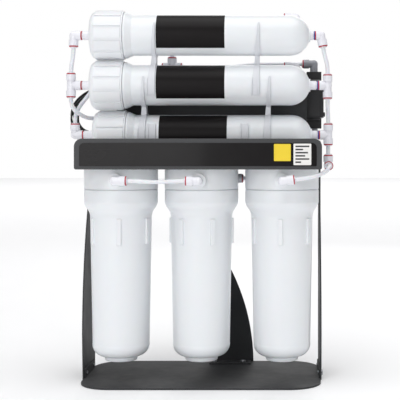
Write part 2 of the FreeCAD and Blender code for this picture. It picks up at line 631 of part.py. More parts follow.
def membrane_cap(number, place):
    """Screw cap with twelve raised grip pads and a rounded end."""
    root = CAP_R - CAP_GROOVE
    bore = CAP_THREAD_R + 0.25
    fold = CAP_FOLD
    elbow = 1 - math.sqrt(0.5)
    end = CAP_END
    inner_end = end + CAP_BACK

    def skin(radius, low):
        return laid([(low, 0), (low, radius - fold),
                     ((low + fold * elbow, radius - fold * elbow), (low + fold, radius)),
                     (CAP_RIM, radius), (CAP_RIM, 0)])

    body = skin(root, end)
    ring = skin(CAP_R, end + 1.0).cut(skin(root - 0.6, end + 1.0))
    ring = ring.common(block((end + 7.5, -CAP_R, -CAP_R), (CAP_RIM - 2.5, CAP_R, CAP_R)))
    gaps = []
    for step in range(CAP_PADS):
        gap = block((end, -1.9, root - 3), (CAP_RIM, 1.9, CAP_R + 2))
        gap.rotate(Vector(0, 0, 0), Vector(1, 0, 0), 360 * (step + 0.5) / CAP_PADS)
        gaps.append(gap)
    pads = ring.cut(gaps)
    hollow = laid([(inner_end, 0), (inner_end, BODY_R - BODY_WALL), (CAP_THREAD_END - 2.2,
                   BODY_R - BODY_WALL), (CAP_THREAD_END - 2.2, bore), (CAP_RIM + 1, bore),
                   (CAP_RIM + 1, 0)])
    solid = body.fuse(pads.Solids).removeSplitter().cut(hollow)
    keep(f"membrane_cap_{number}", moved(cut(solid, port_bore((end, 0, 0), EAST, 12)), place))


def membrane_inside(place):
    """Wound element with its brine seal, and the ring that seals the cap."""
    low, high = CAP_END + CAP_BACK + 6, DOME_START + 8
    wound = pipe((low + 8, 0, 0), EAST, ELEMENT_R, CORE_R - 3, high - low - 16)
    core = pipe((low, 0, 0), EAST, CORE_R, CORE_R - 3, high - low)
    lip = pipe((low + 20, 0, 0), EAST, BODY_R - BODY_WALL - 0.3, ELEMENT_R - 1, 5)
    spider = pipe((high - 14, 0, 0), EAST, BODY_R - BODY_WALL - 0.3, ELEMENT_R - 1, 4)
    keep("membrane_elements", moved(fuse([wound, core, lip, spider]), place))
    section = CAP_SEAL_SECTION
    groove_x = CAP_THREAD_END - 0.15 - section / 2
    ring = pipe((groove_x - section / 2, 0, 0), EAST, CAP_THREAD_R - 0.5, BODY_R - 1.5, section)
    keep("cap_seals", moved(ring, place))


def housing_label(place):
    """Wrap-round label on the front of the housing's body."""
    inside = BODY_R + 0.02
    sleeve = pipe((PAPER_LOW, 0, 0), EAST, inside + PAPER_THICK, inside, PAPER_HIGH - PAPER_LOW)
    spots = [(0.0, 0.0)]
    for degrees in (PAPER_FOOT, (PAPER_FOOT + PAPER_TOP) / 2, PAPER_TOP):
        turn = math.radians(degrees)
        spots.append((-60 * math.cos(turn), 60 * math.sin(turn)))
    wedge = outline(spots, lambda y, z: Vector(PAPER_LOW, y, z))
    wedge = wedge.extrude(Vector(PAPER_HIGH - PAPER_LOW, 0, 0))
    keep("housing_labels", moved(sleeve.common(wedge), place))


# ---- clips -------------------------------------------------------------------------------------
def clip_ring(centre, opening):
    """C-shaped ring round a housing's body; opening is the unit direction (y, z) of its mouth."""
    inside = BODY_R + CLIP_GAP
    outside = inside + CLIP_WALL
    left = centre[0] - CLIP_WIDE / 2
    ring = pipe((left, centre[1], centre[2]), EAST, outside, inside, CLIP_WIDE)
    channel = pipe((left + 2.4, centre[1], centre[2]), EAST, outside + 1, outside - 1.2,
                   CLIP_WIDE - 4.8)
    mid = math.atan2(opening[1], opening[0])
    spots = [(centre[1], centre[2])]
    for step in (-1, 0, 1):
        turn = mid + math.radians(CLIP_MOUTH) * step
        spots.append((centre[1] + 90 * math.cos(turn), centre[2] + 90 * math.sin(turn)))
    wedge = outline(spots, lambda y, z: Vector(left - 1, y, z)).extrude(Vector(CLIP_WIDE + 2, 0, 0))
    return ring.cut(channel).cut(wedge)


def double_clip(name, x, lower, upper):
    """Two rings back to back with a web between them."""
    span = (upper[1] - lower[1], upper[2] - lower[2])
    length = math.hypot(*span)
    unit = (span[0] / length, span[1] / length)
    rings = [clip_ring((x, upper[1], upper[2]), unit),
             clip_ring((x, lower[1], lower[2]), (-unit[0], -unit[1]))]
    reach = BODY_R + CLIP_GAP + 1.0
    web = block((x - CLIP_WIDE / 2, -8, reach), (x + CLIP_WIDE / 2, 8, length - reach))
    turn = -math.degrees(math.atan2(unit[0], unit[1]))
    web.rotate(Vector(0, 0, 0), Vector(1, 0, 0), turn)
    web.translate(Vector(0, lower[1], lower[2]))
    bores = [cylinder((x - 10, spot[1], spot[2]), EAST, BODY_R + CLIP_GAP, 20)
             for spot in (lower, upper)]
    foot, tip = lower[2] - CLIP_ARM, upper[2] + CLIP_ARM
    left, right = x - CLIP_WIDE / 2, x + CLIP_WIDE / 2
    taper = outline([(left - 1, foot), (left, foot), (right - CLIP_TIP, tip), (right, tip + 20),
                     (left - 1, tip + 20)], lambda across, z: Vector(across, -60, z))
    keep(name, cut(fuse(rings + [web]), bores + [taper.extrude(Vector(0, 130, 0))]))


def clip_screw_rows():
    return (MEMBRANES[2][1] - CLIP_SCREW_Y, MEMBRANES[2][1] + CLIP_SCREW_Y)


def clips():
    first, second, third = MEMBRANES
    for x in UPPER_CLIP_X:
        double_clip("upper_clips", x, second, first)
    for x in MIDDLE_CLIP_X:
        double_clip("middle_clips", x, third, second)
    for x in LOWER_CLIP_X:
        y, z = third[1], third[2]
        ring = clip_ring((x, y, z), (0, 1))
        left, right = x - CLIP_WIDE / 2, x + CLIP_WIDE / 2
        foot = block((left, y - 11, DECK_TOP), (right, y + 11, z - BODY_R))
        foot = foot.cut(cylinder((x - 10, y, z), EAST, BODY_R + CLIP_GAP, 20))
        reach = CLIP_SCREW_Y + SCREW_HEAD_R + 1.5
        pad = block((left, y - reach, DECK_TOP), (right, y + reach, DECK_TOP + CLIP_PAD))
        holes = []
        for row in clip_screw_rows():
            spot = (x, row, DECK_TOP + CLIP_PAD)
            holes.append(screw_hole(along(spot, UP, 1), DOWN, CLIP_PAD + 2))
            screw("frame_screws", spot, DOWN, CLIP_PAD + SHEET)
        keep("lower_clips", cut(fuse([ring, foot, pad]), holes))


# ---- plumbing ----------------------------------------------------------------------------------
SIDE_LIP = CLIP_RING_T + COLLET_LIP     # length of a clip and a collet outside a socket
LEFT_REACH = 11.6
TEE_REACH = 15.6
RISER_REACH, BRANCH_REACH = 16.0, 17.0
RED = ("red",)
BOTH = ("red", "blue")


def left_side():
    first, second, third = MEMBRANES
    name = "left_fittings"
    fitting(name, (LEFT_X, 0, first[2]), [(EAST, LEFT_REACH, RED), (DOWN, RISER_REACH, RED)])
    fitting(name, (TEE_X, 0, second[2]), [(EAST, TEE_REACH, RED), (UP, BRANCH_REACH, RED),
                                          (DOWN, BRANCH_REACH, RED)])
    fitting(name, (LEFT_X, third[1], third[2]), [(EAST, LEFT_REACH, RED), (UP, RISER_REACH, RED)])
    for place, elbow_x in ((first, LEFT_X), (second, TEE_X), (third, LEFT_X)):
        face = place[0] + CAP_END
        mouth = elbow_x + (TEE_REACH if place is second else LEFT_REACH)
        stub((face, place[1], place[2]), WEST, face - mouth - SIDE_LIP,
             face - elbow_x - TUBE_STOP - 0.2)
    tube("feed_tubes", [(LEFT_X, 0, first[2] - TUBE_STOP - 0.5), (LEFT_X, 0, first[2] - 26),
                        (TEE_X, 0, second[2] + 26), (TEE_X, 0, second[2] + TUBE_STOP + 0.5)])
    tube("feed_tubes", [(TEE_X, 0, second[2] - TUBE_STOP - 0.5), (TEE_X, 0, second[2] - 29),
                        (-197, 3, 420), (-184, 20, 411), (-171, 46, 410), (-150, 60, 412),
                        (-115, 74, 426), (-75, 84, 444), (-35, 92, 464), (5, 98, 484),
                        (42, 103, 497), (80, 105, PUMP_Z + PORT_BLOCK + 13.5),
                        (PUMP_PORT_X - TUBE_STOP - 0.5, PUMP_Y, PUMP_Z + PORT_BLOCK + 13.5)])


PUMP_PORT_X = 178.0
LEAN = math.radians(10.0)


def right_side():
    first, second, third = MEMBRANES
    name = "right_fittings"
    leaning = (math.sin(LEAN), 0, -math.cos(LEAN))
    top = (RIGHT_TOP_X, 0, first[2])
    mid = (RIGHT_MID_X, 0, second[2])
    low = (RIGHT_LOW_X, third[1], third[2])
    outlet = (RIGHT_LOW_X, third[1], OUTLET_Z)
    fitting(name, top, [(WEST, 8.0, BOTH), (leaning, 16.0, RED)])
    fitting(name, mid, [(WEST, 13.0, BOTH), (UP, 15.0, RED), (DOWN, 19.0, RED)])
    fitting(name, low, [(WEST, 13.0, BOTH), (UP, 16.0, RED), (DOWN, 14.0, RED)])
    fitting(name, outlet, [(UP, 15.0, RED), (FRONT, 17.0, RED)])
    for place, x, reach in ((first, RIGHT_TOP_X, 8.0), (second, RIGHT_MID_X, 13.0),
                            (third, RIGHT_LOW_X, 13.0)):
        face = place[0] + DOME_END
        collar = x - reach - SIDE_LIP - CLIP_RING_T - face
        stub((face, place[1], place[2]), EAST, collar, x - TUBE_STOP - 0.2 - face)
    tube("right_tubes", [along(top, leaning, TUBE_STOP + 0.5), along(top, leaning, 30),
                         (RIGHT_MID_X, 0, second[2] + 30), along(mid, UP, TUBE_STOP + 0.5)])
    tube("right_tubes", [along(mid, DOWN, TUBE_STOP + 0.5), along(mid, DOWN, 31),
                         along(low, UP, 27), along(low, UP, TUBE_STOP + 0.5)])
    tube("right_tubes", [along(low, DOWN, TUBE_STOP + 0.5), along(outlet, UP, TUBE_STOP + 0.5)])


FRONT_RISE = 6.0                # how much the right-hand front elbow turns up, in degrees
FRONT_REACH = 17.0


def front_side():
    name = "front_elbows"
    thread = (REAR, -FRONT_Y - PORT_FACE)
    climb = math.radians(FRONT_RISE)
    rising = (math.cos(climb), 0, math.sin(climb))
    centres = [(x, FRONT_Y, PORT_Z) for x in FILTER_X]
    for centre, turn, rise in zip(centres, (EAST, WEST, EAST), (0.0, 0.0, FRONT_RISE)):
        fitting(name, centre, [(turn, FRONT_REACH, RED)], [thread], rise=rise)
    left, middle, right = centres
    sag = 2.2
    tube("front_tubes", [along(left, EAST, TUBE_STOP + 0.5), along(left, EAST, 30),
                         (left[0] + FILTER_PITCH / 2, FRONT_Y, PORT_Z - sag),
                         along(middle, WEST, 30), along(middle, WEST, TUBE_STOP + 0.5)])
    outlet = (RIGHT_LOW_X, MEMBRANES[2][1], OUTLET_Z)
    tube("front_tubes", [along(right, rising, TUBE_STOP + 0.5), along(right, rising, 33),
                         (177, FRONT_Y + 2, 321), (192, -58, 328), (RIGHT_LOW_X, -34, 334.5),
                         along(outlet, FRONT, 25), along(outlet, FRONT, TUBE_STOP + 0.5)])


JOINT_TEE = (-50.0, 42.0, MEMBRANES[1][2] + 31.2)
RESTRICTOR_X, RESTRICTOR_HALF = 20.0, 30.0
DRAIN_X, DRAIN_REACH = -45.0, 20.4


def brine_centre(number):
    x, y, z = MEMBRANES[number - 1]
    return along((x + BRINE_X, y, z), brine_direction(number), BRINE_CENTRE)


def rear_side():
    """Reject lines behind the housings: two into one, then through the last membrane to drain."""
    first, second, third = centres = [brine_centre(number) for number in (1, 2, 3)]
    for number, centre in enumerate(centres, 1):
        inward = tuple(-d for d in brine_direction(number))
        fitting("brine_fittings", centre, [(WEST, 17.0, RED)],
                [(inward, BRINE_CENTRE - BRINE_FACE)])
    tee = JOINT_TEE
    fitting("brine_fittings", tee, [(EAST, 14.0, RED), (WEST, 14.0, RED), (UP, 14.0, RED)])
    inner = TUBE_STOP + 0.5
    tube("brine_tubes", [along(first, WEST, inner), along(first, WEST, 60), (30, first[1], first[2]),
                         (-15, 31, 566), (-42, 39, 553), (tee[0], tee[1], 533),
                         along(tee, UP, inner)])
    tube("brine_tubes", [along(second, WEST, inner), along(second, WEST, 50), (40, 33, tee[2]),
                         (0, tee[1], tee[2]), along(tee, EAST, inner)])
    elbow = (LEFT_X, MEMBRANES[2][1], MEMBRANES[2][2])
    tube("brine_tubes", [along(tee, WEST, inner), along(tee, WEST, 34), (-118, 45, 491),
                         (-148, 45, 483), (-170, 43, 465), (-184, 35, 445), (-195, 22, 427),
                         along(elbow, UP, 30), along(elbow, UP, inner)])
    restrictor = (RESTRICTOR_X, third[1], third[2])
    drain = (DRAIN_X, third[1], third[2])
    body = cylinder(along(restrictor, WEST, 14), EAST, COLLAR_R - 0.2, 28)
    fitting("flow_restrictor", restrictor, [(EAST, RESTRICTOR_HALF, RED),
                                            (WEST, RESTRICTOR_HALF, RED)], extra=[body])
    fitting("drain_outlet_fitting", drain, [(EAST, 14.0, RED), (REAR, DRAIN_REACH, RED)])
    far = RESTRICTOR_HALF - 14.5
    tube("brine_tubes", [along(third, WEST, inner), along(restrictor, EAST, far)])
    tube("brine_tubes", [along(restrictor, WEST, far), along(drain, EAST, inner)])


OUTLET_REACH = 26.0


def rear_ports():
    """Straight connectors at the back of the outer heads, open for the supply and product lines."""
    for name, x in (("feed_inlet_fitting", FILTER_X[0]), ("permeate_outlet_fitting", FILTER_X[2])):
        centre = (x, PORT_FACE + 6.0, PORT_Z)
        fitting(name, centre, [(REAR, OUTLET_REACH - 4.0, RED)], [(FRONT, 6.0)])


def suction_side():
    """From the second filter through the shut-off valve up to the pump."""
    name = "suction_fittings"
    start = (FILTER_X[1], SUCTION_Y, PORT_Z)
    turn = (SUCTION_X, SUCTION_Y, PORT_Z)
    valve = (VALVE_X, SUCTION_Y, PORT_Z)
    inlet = (PUMP_PORT_X, PUMP_Y, PUMP_Z - PORT_BLOCK - 13.5)
    outlet = (PUMP_PORT_X, PUMP_Y, PUMP_Z + PORT_BLOCK + 13.5)
    fitting(name, start, [(EAST, 10.0, RED)], [(FRONT, SUCTION_Y - PORT_FACE)])
    fitting(name, turn, [(WEST, 10.0, RED), (UP, 16.0, RED)])
    fitting("pump_elbows", inlet, [(WEST, 17.0, RED)], [(UP, 13.5)])
    fitting("pump_elbows", outlet, [(WEST, 17.0, RED)], [(DOWN, 13.5)])
    inner = TUBE_STOP + 0.5
    socket = VALVE_HALF - 14.5
    tube("suction_tubes", [along(start, EAST, inner), along(valve, WEST, socket)])
    tube("suction_tubes", [along(valve, EAST, socket), along(turn, WEST, inner)])
    tube("suction_tubes", [along(turn, UP, inner), along(turn, UP, 30), (109, 80, 362),
                           (124, 92, 377), along(inlet, WEST, 32), along(inlet, WEST, inner)])


PLUNGER_R, PLUNGER_GAP, PLUNGER_TRAVEL = 4.0, 0.1, 2.5
VALVE_SEAT = 4.5                # plunger's seat, below the valve's axis
PLUNGER_LONG = 23.0


def solenoid_valve():
    """Valve block hung under the deck, with its coil below and a plunger that drops to open."""
    x, y, z = VALVE_X, SUCTION_Y, PORT_Z
    coil_low = z - VALVE_SEAT - PLUNGER_LONG - PLUNGER_TRAVEL - 4
    body = block((x - 13, y - 13, z - 13), (x + 13, y + 13, z + 11))
    body = body.makeFillet(2.0, body.Edges)
    coil = block((x - 14, y - 14, coil_low), (x + 14, y + 14, z - 12))
    coil = coil.makeFillet(2.5, [edge for edge in coil.Edges if abs(edge.BoundBox.ZLength) > 1])
    hanger = block((x - 8, y - 8, z + 10), (x + 8, y + 8, DECK_TOP - SHEET))
    name = "solenoid_valve"
    fitting(name, (x, y, z), [(EAST, VALVE_HALF, RED), (WEST, VALVE_HALF, RED)],
            extra=[body, coil, hanger])
    solid = shapes[name].pop()
    seat = z - VALVE_SEAT
    chamber = PLUNGER_LONG + PLUNGER_TRAVEL + 0.6
    cuts = [cylinder((x, y, seat), DOWN, PLUNGER_R + PLUNGER_GAP, chamber),
            cylinder((x, y, z), DOWN, 1.2, VALVE_SEAT + 1)]
    keep(name, cut(solid, cuts))
    keep("solenoid_plunger", cylinder((x, y, seat - 0.3), DOWN, PLUNGER_R, PLUNGER_LONG))


# ---- pump and electrics ------------------------------------------------------------------------
CRADLE_LOW, CRADLE_HIGH = -40.0, PLATE_HIGH - SHEET - PUMP_Z   # cradle plate, from the pump's axis
CRADLE_SCREW_Z = (-32.0, 28.0)
CONTROLLER = ((-126.0, PLATE_Y + SHEET, 350.0), (-60.0, PLATE_Y + SHEET + 36.0, 408.0))
CONTROLLER_SCREW_X, CONTROLLER_SCREW_Z = (-102.0, -70.0), 379.0
GLAND_R, GLAND_LONG = 7.0, 8.0
HARNESS_R = 4.5
LOW_GLAND = (CONTROLLER[0][0], 72.0, 380.0)


def back_plate():
    rear = PLATE_Y + SHEET
    sheet = block((PLATE_LEFT, PLATE_Y, DECK_TOP), (PLATE_RIGHT, rear, PLATE_HIGH))
    flange = block((PLATE_LEFT, PLATE_Y, DECK_TOP), (PLATE_RIGHT, PLATE_Y + 24, DECK_TOP + SHEET))
    lip = block((PLATE_LEFT, PLATE_Y, PLATE_HIGH - SHEET), (PLATE_RIGHT, PLATE_Y + 8, PLATE_HIGH))
    drain = brine_centre(3)
    holes = [cylinder((DRAIN_X, PLATE_Y - 1, drain[2]), REAR, COLLAR_R + 0.6, SHEET + 2),
             cylinder((SUCTION_X, SUCTION_Y, DECK_TOP - 1), UP, COLLAR_R + 2.5, SHEET + 2)]
    for x in HOLDER_X:
        spot = (x, PLATE_Y + 12, DECK_TOP + SHEET + 1)
        holes.append(screw_hole(spot, DOWN, SHEET + 2))
    for x in BAND_X:
        for z in CRADLE_SCREW_Z:
            holes.append(screw_hole((x, rear + 1, PUMP_Z + z), FRONT, SHEET + 2))
    for x in CONTROLLER_SCREW_X:
        holes.append(screw_hole((x, rear + 1, CONTROLLER_SCREW_Z), FRONT, SHEET + 2))
        screw("frame_screws", (x, PLATE_Y, CONTROLLER_SCREW_Z), REAR, SHEET + 1.6)
    keep("back_plate", cut(fuse([sheet, flange, lip]), holes))


def pump_cradle():
    """Plate with two bands that hold the motor."""
    rear = PLATE_Y + SHEET
    left, right = BAND_X[0] - 12, BAND_X[1] + 12
    plate = block((left, rear, PUMP_Z + CRADLE_LOW), (right, rear + SHEET, PUMP_Z + CRADLE_HIGH))
    solids = [plate]
    hole = MOTOR_R + BAND_GAP
    for x in BAND_X:
        solids.append(cylinder((x - BAND_WIDE / 2, PUMP_Y, PUMP_Z), EAST, hole + BAND_WALL,
                               BAND_WIDE))
        solids.append(block((x - BAND_WIDE / 2, rear, PUMP_Z - 12),
                            (x + BAND_WIDE / 2, PUMP_Y - 30, PUMP_Z + 12)))
    cuts = [cylinder((left - 5, PUMP_Y, PUMP_Z), EAST, hole, right - left + 10)]
    for x in BAND_X:
        for z in CRADLE_SCREW_Z:
            spot = (x, rear + SHEET, PUMP_Z + z)
            cuts.append(screw_hole(along(spot, REAR, 1), FRONT, SHEET + 2))
            screw("frame_screws", spot, FRONT, 2 * SHEET + 1.0)
    keep("pump_cradle", cut(fuse(solids), cuts))


def pump_motor():
    wall = 3.0
    left, right = MOTOR_LEFT, MOTOR_RIGHT
    shell = laid([(left, 0), (left, MOTOR_R - 9), ((left + 2.6, MOTOR_R - 2.6), (left + 9, MOTOR_R)),
                  (right, MOTOR_R), (right, 0)])
    hollow = laid([(left + wall, 0), (left + wall, MOTOR_R - 12), (left + 12, MOTOR_R - wall),
                   (right - 5, MOTOR_R - wall), (right - 5, 0)])
    bearing = pipe((left + wall - 0.5, 0, 0), EAST, 12, SHAFT_R + SHAFT_GAP, 9)
    front = pipe((right - 12, 0, 0), EAST, 12, SHAFT_R + SHAFT_GAP, 8)
    gland = cylinder((left + 1, -14, 8), WEST, GLAND_R, GLAND_LONG + 1)
    bore = cylinder((right - 13, 0, 0), EAST, SHAFT_R + SHAFT_GAP, 14)
    solid = fuse([shell.cut(hollow), bearing, front, gland]).cut(bore)
    keep("pump_motor", moved(solid, (0, PUMP_Y, PUMP_Z)))


ROTOR_R, ROTOR_LEFT, ROTOR_RIGHT = 26.0, 46.0, 124.0
ECCENTRIC_R, ECCENTRIC_SHIFT = 12.0, 2.0


def pump_rotor():
    """Shaft with the motor's armature and the off-centre hub that works the diaphragms."""
    shaft = cylinder((MOTOR_LEFT + 4, 0, 0), EAST, SHAFT_R, 170 - MOTOR_LEFT - 4)
    armature = cylinder((ROTOR_LEFT, 0, 0), EAST, ROTOR_R, ROTOR_RIGHT - ROTOR_LEFT)
    hub = cylinder((156, ECCENTRIC_SHIFT, 0), EAST, ECCENTRIC_R, 12)
    keep("pump_rotor", moved(fuse([shaft, armature, hub]), (0, PUMP_Y, PUMP_Z)))


def pump_head():
    """Diaphragm head: flange, chamber block with its bolts, end cover and two port blocks."""
    left = MOTOR_RIGHT
    flange = cylinder((left, 0, 0), EAST, MOTOR_R + 1.5, 7)
    body = block((left + 6, -33, -33), (HEAD_RIGHT - 6, 33, 33))
    body = body.makeFillet(7.0, [edge for edge in body.Edges if edge.BoundBox.XLength > 1])
    cover = block((HEAD_RIGHT - 7, -29, -29), (HEAD_RIGHT, 29, 29))
    cover = cover.makeFillet(5.0, [edge for edge in cover.Edges if edge.BoundBox.XLength > 1])
    solids = [flange, body, cover]
    for sign in (-1, 1):
        low, high = sorted((sign * 30, sign * PORT_BLOCK))
        solids.append(block((PUMP_PORT_X - 12, -12, low), (PUMP_PORT_X + 12, 12, high)))
    for y in (-24, 24):
        for z in (-24, 24):
            solids.append(cylinder((HEAD_RIGHT - 2, y, z), EAST, 3.6, 4.4))
    hollow = [cylinder((left - 1, 0, 0), EAST, 20, 23)]
    for face, inward in (((PUMP_PORT_X, 0, PORT_BLOCK), DOWN), ((PUMP_PORT_X, 0, -PORT_BLOCK), UP)):
        hollow += port_bore(face, inward, 22)
    keep("pump_head", moved(cut(fuse(solids), hollow), (0, PUMP_Y, PUMP_Z)))


def controller_box():
    """Box with the pump's control board, closed by a raised lid, with one cable gland."""
    low, high = CONTROLLER
    box = block(low, high)
    box = box.makeFillet(3.0, [edge for edge in box.Edges if edge.BoundBox.YLength > 1])
    lid = block((low[0] + 4, high[1] - 1, low[2] + 4), (high[0] - 4, high[1] + 2, high[2] - 4))
    inside = block(along(low, (1, 1, 1), 3), along(high, (1, 1, 1), -3))
    gland = cylinder(along(LOW_GLAND, EAST, 1), WEST, GLAND_R, GLAND_LONG + 1)
    holes = [screw_hole((x, low[1] - 1, CONTROLLER_SCREW_Z), REAR, 3.0)
             for x in CONTROLLER_SCREW_X]
    keep("controller_box", cut(fuse([box, lid, gland]), [inside] + holes))


def wire_harness():
    """Bundle of leads from the motor, out round the left side and into the controller."""
    start = (MOTOR_LEFT - GLAND_LONG, PUMP_Y - 14, PUMP_Z + 8)
    end = (LOW_GLAND[0] - GLAND_LONG, LOW_GLAND[1], LOW_GLAND[2])
    route = [start, (-8, PUMP_Y - 14, PUMP_Z + 8), (-32, 80, 455), (-62, 70, 459), (-100, 66, 460),
             (-138, 64, 460), (-168, 57, 458), (-190, 46, 449), (-203, 37, 434), (-207, 33, 417),
             (-206, 33, 402), (-198, 39, 390), (-182, 51, 385), (-163, 64, 381),
             (-150, end[1], end[2]), end]
    solid, length, radii = swept(route, HARNESS_R)
    print(f"wire_harness: {length:.0f} mm long, tightest bend {min(radii):.0f} mm, "
          f"volume ratio {solid.Volume / (math.pi * HARNESS_R ** 2 * length):.4f}")
    keep("wire_harness", solid)


# ---- the whole unit ----------------------------------------------------------------------------
def build():
    base_plate()
    side_plates()
    rear_leg()
    top_deck()
    front_panel()
    back_plate()
    for number, (centre, phase) in enumerate(zip(FILTER_X, RIB_PHASE), 1):
        filter_head(number, centre)
        sump(number, centre, phase)
        sump_seal(number, centre)
        cartridge(number, centre)
    for number, place in enumerate(MEMBRANES, 1):
        membrane_housing(number, place)
        membrane_cap(number, place)
        membrane_inside(place)
        housing_label(place)
    clips()
    left_side()
    right_side()
    front_side()
    rear_side()
    rear_ports()
    suction_side()
    solenoid_valve()
    pump_cradle()
    pump_motor()
    pump_rotor()
    pump_head()
    controller_box()
    wire_harness()
    keep("collets", *collets)
    keep("red_locking_clips", *red_clips)
    keep("blue_locking_clips", *blue_clips)


def export():
    os.makedirs("parts", exist_ok=True)
    for name, solids in shapes.items():
        for solid in solids:
            if not solid.isValid() or solid.Volume <= 0:
                print(f"{name}: a solid is not valid, volume {solid.Volume:.1f}")
        shape = solids[0] if len(solids) == 1 else Part.makeCompound(solids)
        shape.exportStep(f"parts/{name}.step")
    print(f"{len(shapes)} nodes, {sum(len(s) for s in shapes.values())} solids")


build()
export()
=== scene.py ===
"""Looks of a three-bowl, three-membrane reverse osmosis unit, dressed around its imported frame."""

import json
import logging
import math
from dataclasses import dataclass, field
from enum import Enum

import bpy
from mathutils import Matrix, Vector


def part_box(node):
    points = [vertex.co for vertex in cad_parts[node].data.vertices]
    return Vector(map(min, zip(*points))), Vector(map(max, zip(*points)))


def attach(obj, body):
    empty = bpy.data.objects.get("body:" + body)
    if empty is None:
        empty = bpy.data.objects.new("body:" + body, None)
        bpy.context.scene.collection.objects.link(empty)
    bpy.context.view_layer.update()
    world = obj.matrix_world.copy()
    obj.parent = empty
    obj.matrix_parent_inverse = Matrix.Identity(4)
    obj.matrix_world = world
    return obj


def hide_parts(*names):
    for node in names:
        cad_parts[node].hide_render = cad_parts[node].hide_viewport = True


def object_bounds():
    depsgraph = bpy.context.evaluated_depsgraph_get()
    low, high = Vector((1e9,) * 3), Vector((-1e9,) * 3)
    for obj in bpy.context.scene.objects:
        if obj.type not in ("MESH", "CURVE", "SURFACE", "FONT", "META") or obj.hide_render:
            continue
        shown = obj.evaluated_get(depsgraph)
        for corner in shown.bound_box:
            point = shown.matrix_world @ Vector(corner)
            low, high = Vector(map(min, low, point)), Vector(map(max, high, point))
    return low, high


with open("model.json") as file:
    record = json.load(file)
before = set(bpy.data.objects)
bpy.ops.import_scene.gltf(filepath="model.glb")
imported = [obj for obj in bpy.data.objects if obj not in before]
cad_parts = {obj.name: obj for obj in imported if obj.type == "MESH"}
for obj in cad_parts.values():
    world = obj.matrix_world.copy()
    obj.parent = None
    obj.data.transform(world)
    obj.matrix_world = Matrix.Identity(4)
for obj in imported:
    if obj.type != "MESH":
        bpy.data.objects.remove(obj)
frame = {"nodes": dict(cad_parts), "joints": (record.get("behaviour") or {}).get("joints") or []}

LOG = logging.getLogger("reverse_osmosis_unit")
MM = 0.001
CAD_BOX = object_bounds()

Colour = tuple[float, float, float]


class Slot(Enum):
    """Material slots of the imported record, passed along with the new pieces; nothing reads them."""

    PAPER = "paper_label"
    CABLE = "cable"
    MOTOR = "motor_steel"


class Grain(Enum):
    """Kinds of fine relief, by their share of rounded cells."""

    MOULDED = 0.35
    ORANGE_PEEL = 0.75
    CAST = 0.55
    SMOOTH = 0.0


def tone(red: int, green: int, blue: int) -> Colour:
    """A display colour, each channel 0 to 255, as linear light.

    Args:
        red: red channel.
        green: green channel.
        blue: blue channel.

    Returns:
        The same colour in linear light.
    """

    def linear(channel: int) -> float:
        """One channel in linear light."""
        share = channel / 255
        return share / 12.92 if share <= 0.04045 else ((share + 0.055) / 1.055) ** 2.4

    return linear(red), linear(green), linear(blue)


DUST_COLOUR = tone(196, 192, 184)
SCATTER_DEPTH = 2 * MM
HAIRLINE_TINT, HAIRLINE_SCUFF, HAIRLINE_DEPTH = 0.25, 0.3, -0.4
DUST_SCUFF = 0.5
RING_HEIGHT = 2.0


class Wiring:
    """Short calls for building one shader node tree."""

    def __init__(self, tree: bpy.types.NodeTree) -> None:
        """Takes the tree and empties it.

        Args:
            tree: the node tree to build in.
        """
        self.tree = tree
        tree.nodes.clear()

    def add(self, kind: str, **settings: object) -> bpy.types.Node:
        """Adds a node.

        Args:
            kind: the node's type, without its ShaderNode prefix.
            settings: properties set on the node.

        Returns:
            The new node.
        """
        prefix = "" if kind.startswith("NodeGroup") else "ShaderNode"
        node = self.tree.nodes.new(prefix + kind)
        for name, value in settings.items():
            setattr(node, name, value)
        return node

    def feed(self, node: bpy.types.Node, **sockets: object) -> bpy.types.Node:
        """Links or sets a node's inputs by name, with _ for a space.

        Args:
            node: the node whose inputs are fed.
            sockets: for each input, an output socket to link or a value to set.

        Returns:
            The same node.
        """
        for name, value in sockets.items():
            key = int(name[1:]) if name[0] == "i" and name[1:].isdigit() else name.replace("_", " ")
            target = node.inputs[key]
            if isinstance(value, bpy.types.NodeSocket):
                self.tree.links.new(value, target)
            else:
                target.default_value = value
        return node

    def maths(self, operation: str, first: object, second: object,
              third: object = 0.0) -> bpy.types.NodeSocket:
        """Adds a maths node.

        Args:
            operation: the node's operation.
            first: the first number or socket.
            second: the second number or socket.
            third: the third number or socket, for the operations that have one.

        Returns:
            The result.
        """
        return self.feed(self.add("Math", operation=operation), i0=first, i1=second, i2=third).outputs[0]

    def blend(self, share: object, first: object, second: object) -> bpy.types.NodeSocket:
        """Mixes two colours.

        Args:
            share: how much of the second colour shows.
            first: the first colour or socket.
            second: the second colour or socket.

        Returns:
            The mixed colour.
        """
        node = self.add("Mix", data_type="RGBA")
        return self.feed(node, i0=share, i6=first, i7=second).outputs[2]

    def ramp(self, value: object, low: float, high: float, start: float = 0.0,
             end: float = 1.0) -> bpy.types.NodeSocket:
        """Maps a range smoothly on to another.

        Args:
            value: the socket to map.
            low: where the range starts.
            high: where the range ends.
            start: what low becomes.
            end: what high becomes.

        Returns:
            The mapped value.
        """
        node = self.add("MapRange", interpolation_type="SMOOTHSTEP")
        fed = self.feed(node, Value=value, From_Min=low, From_Max=high, To_Min=start, To_Max=end)
        return fed.outputs[0]

    def noise(self, place: object, scale: object, detail: float = 2.0) -> bpy.types.NodeSocket:
        """Adds a noise texture.

        Args:
            place: where it is read.
            scale: cells per metre.
            detail: how many finer layers it has.

        Returns:
            The noise value.
        """
        node = self.add("TexNoise")
        return self.feed(node, Vector=place, Scale=scale, Detail=detail).outputs[0]


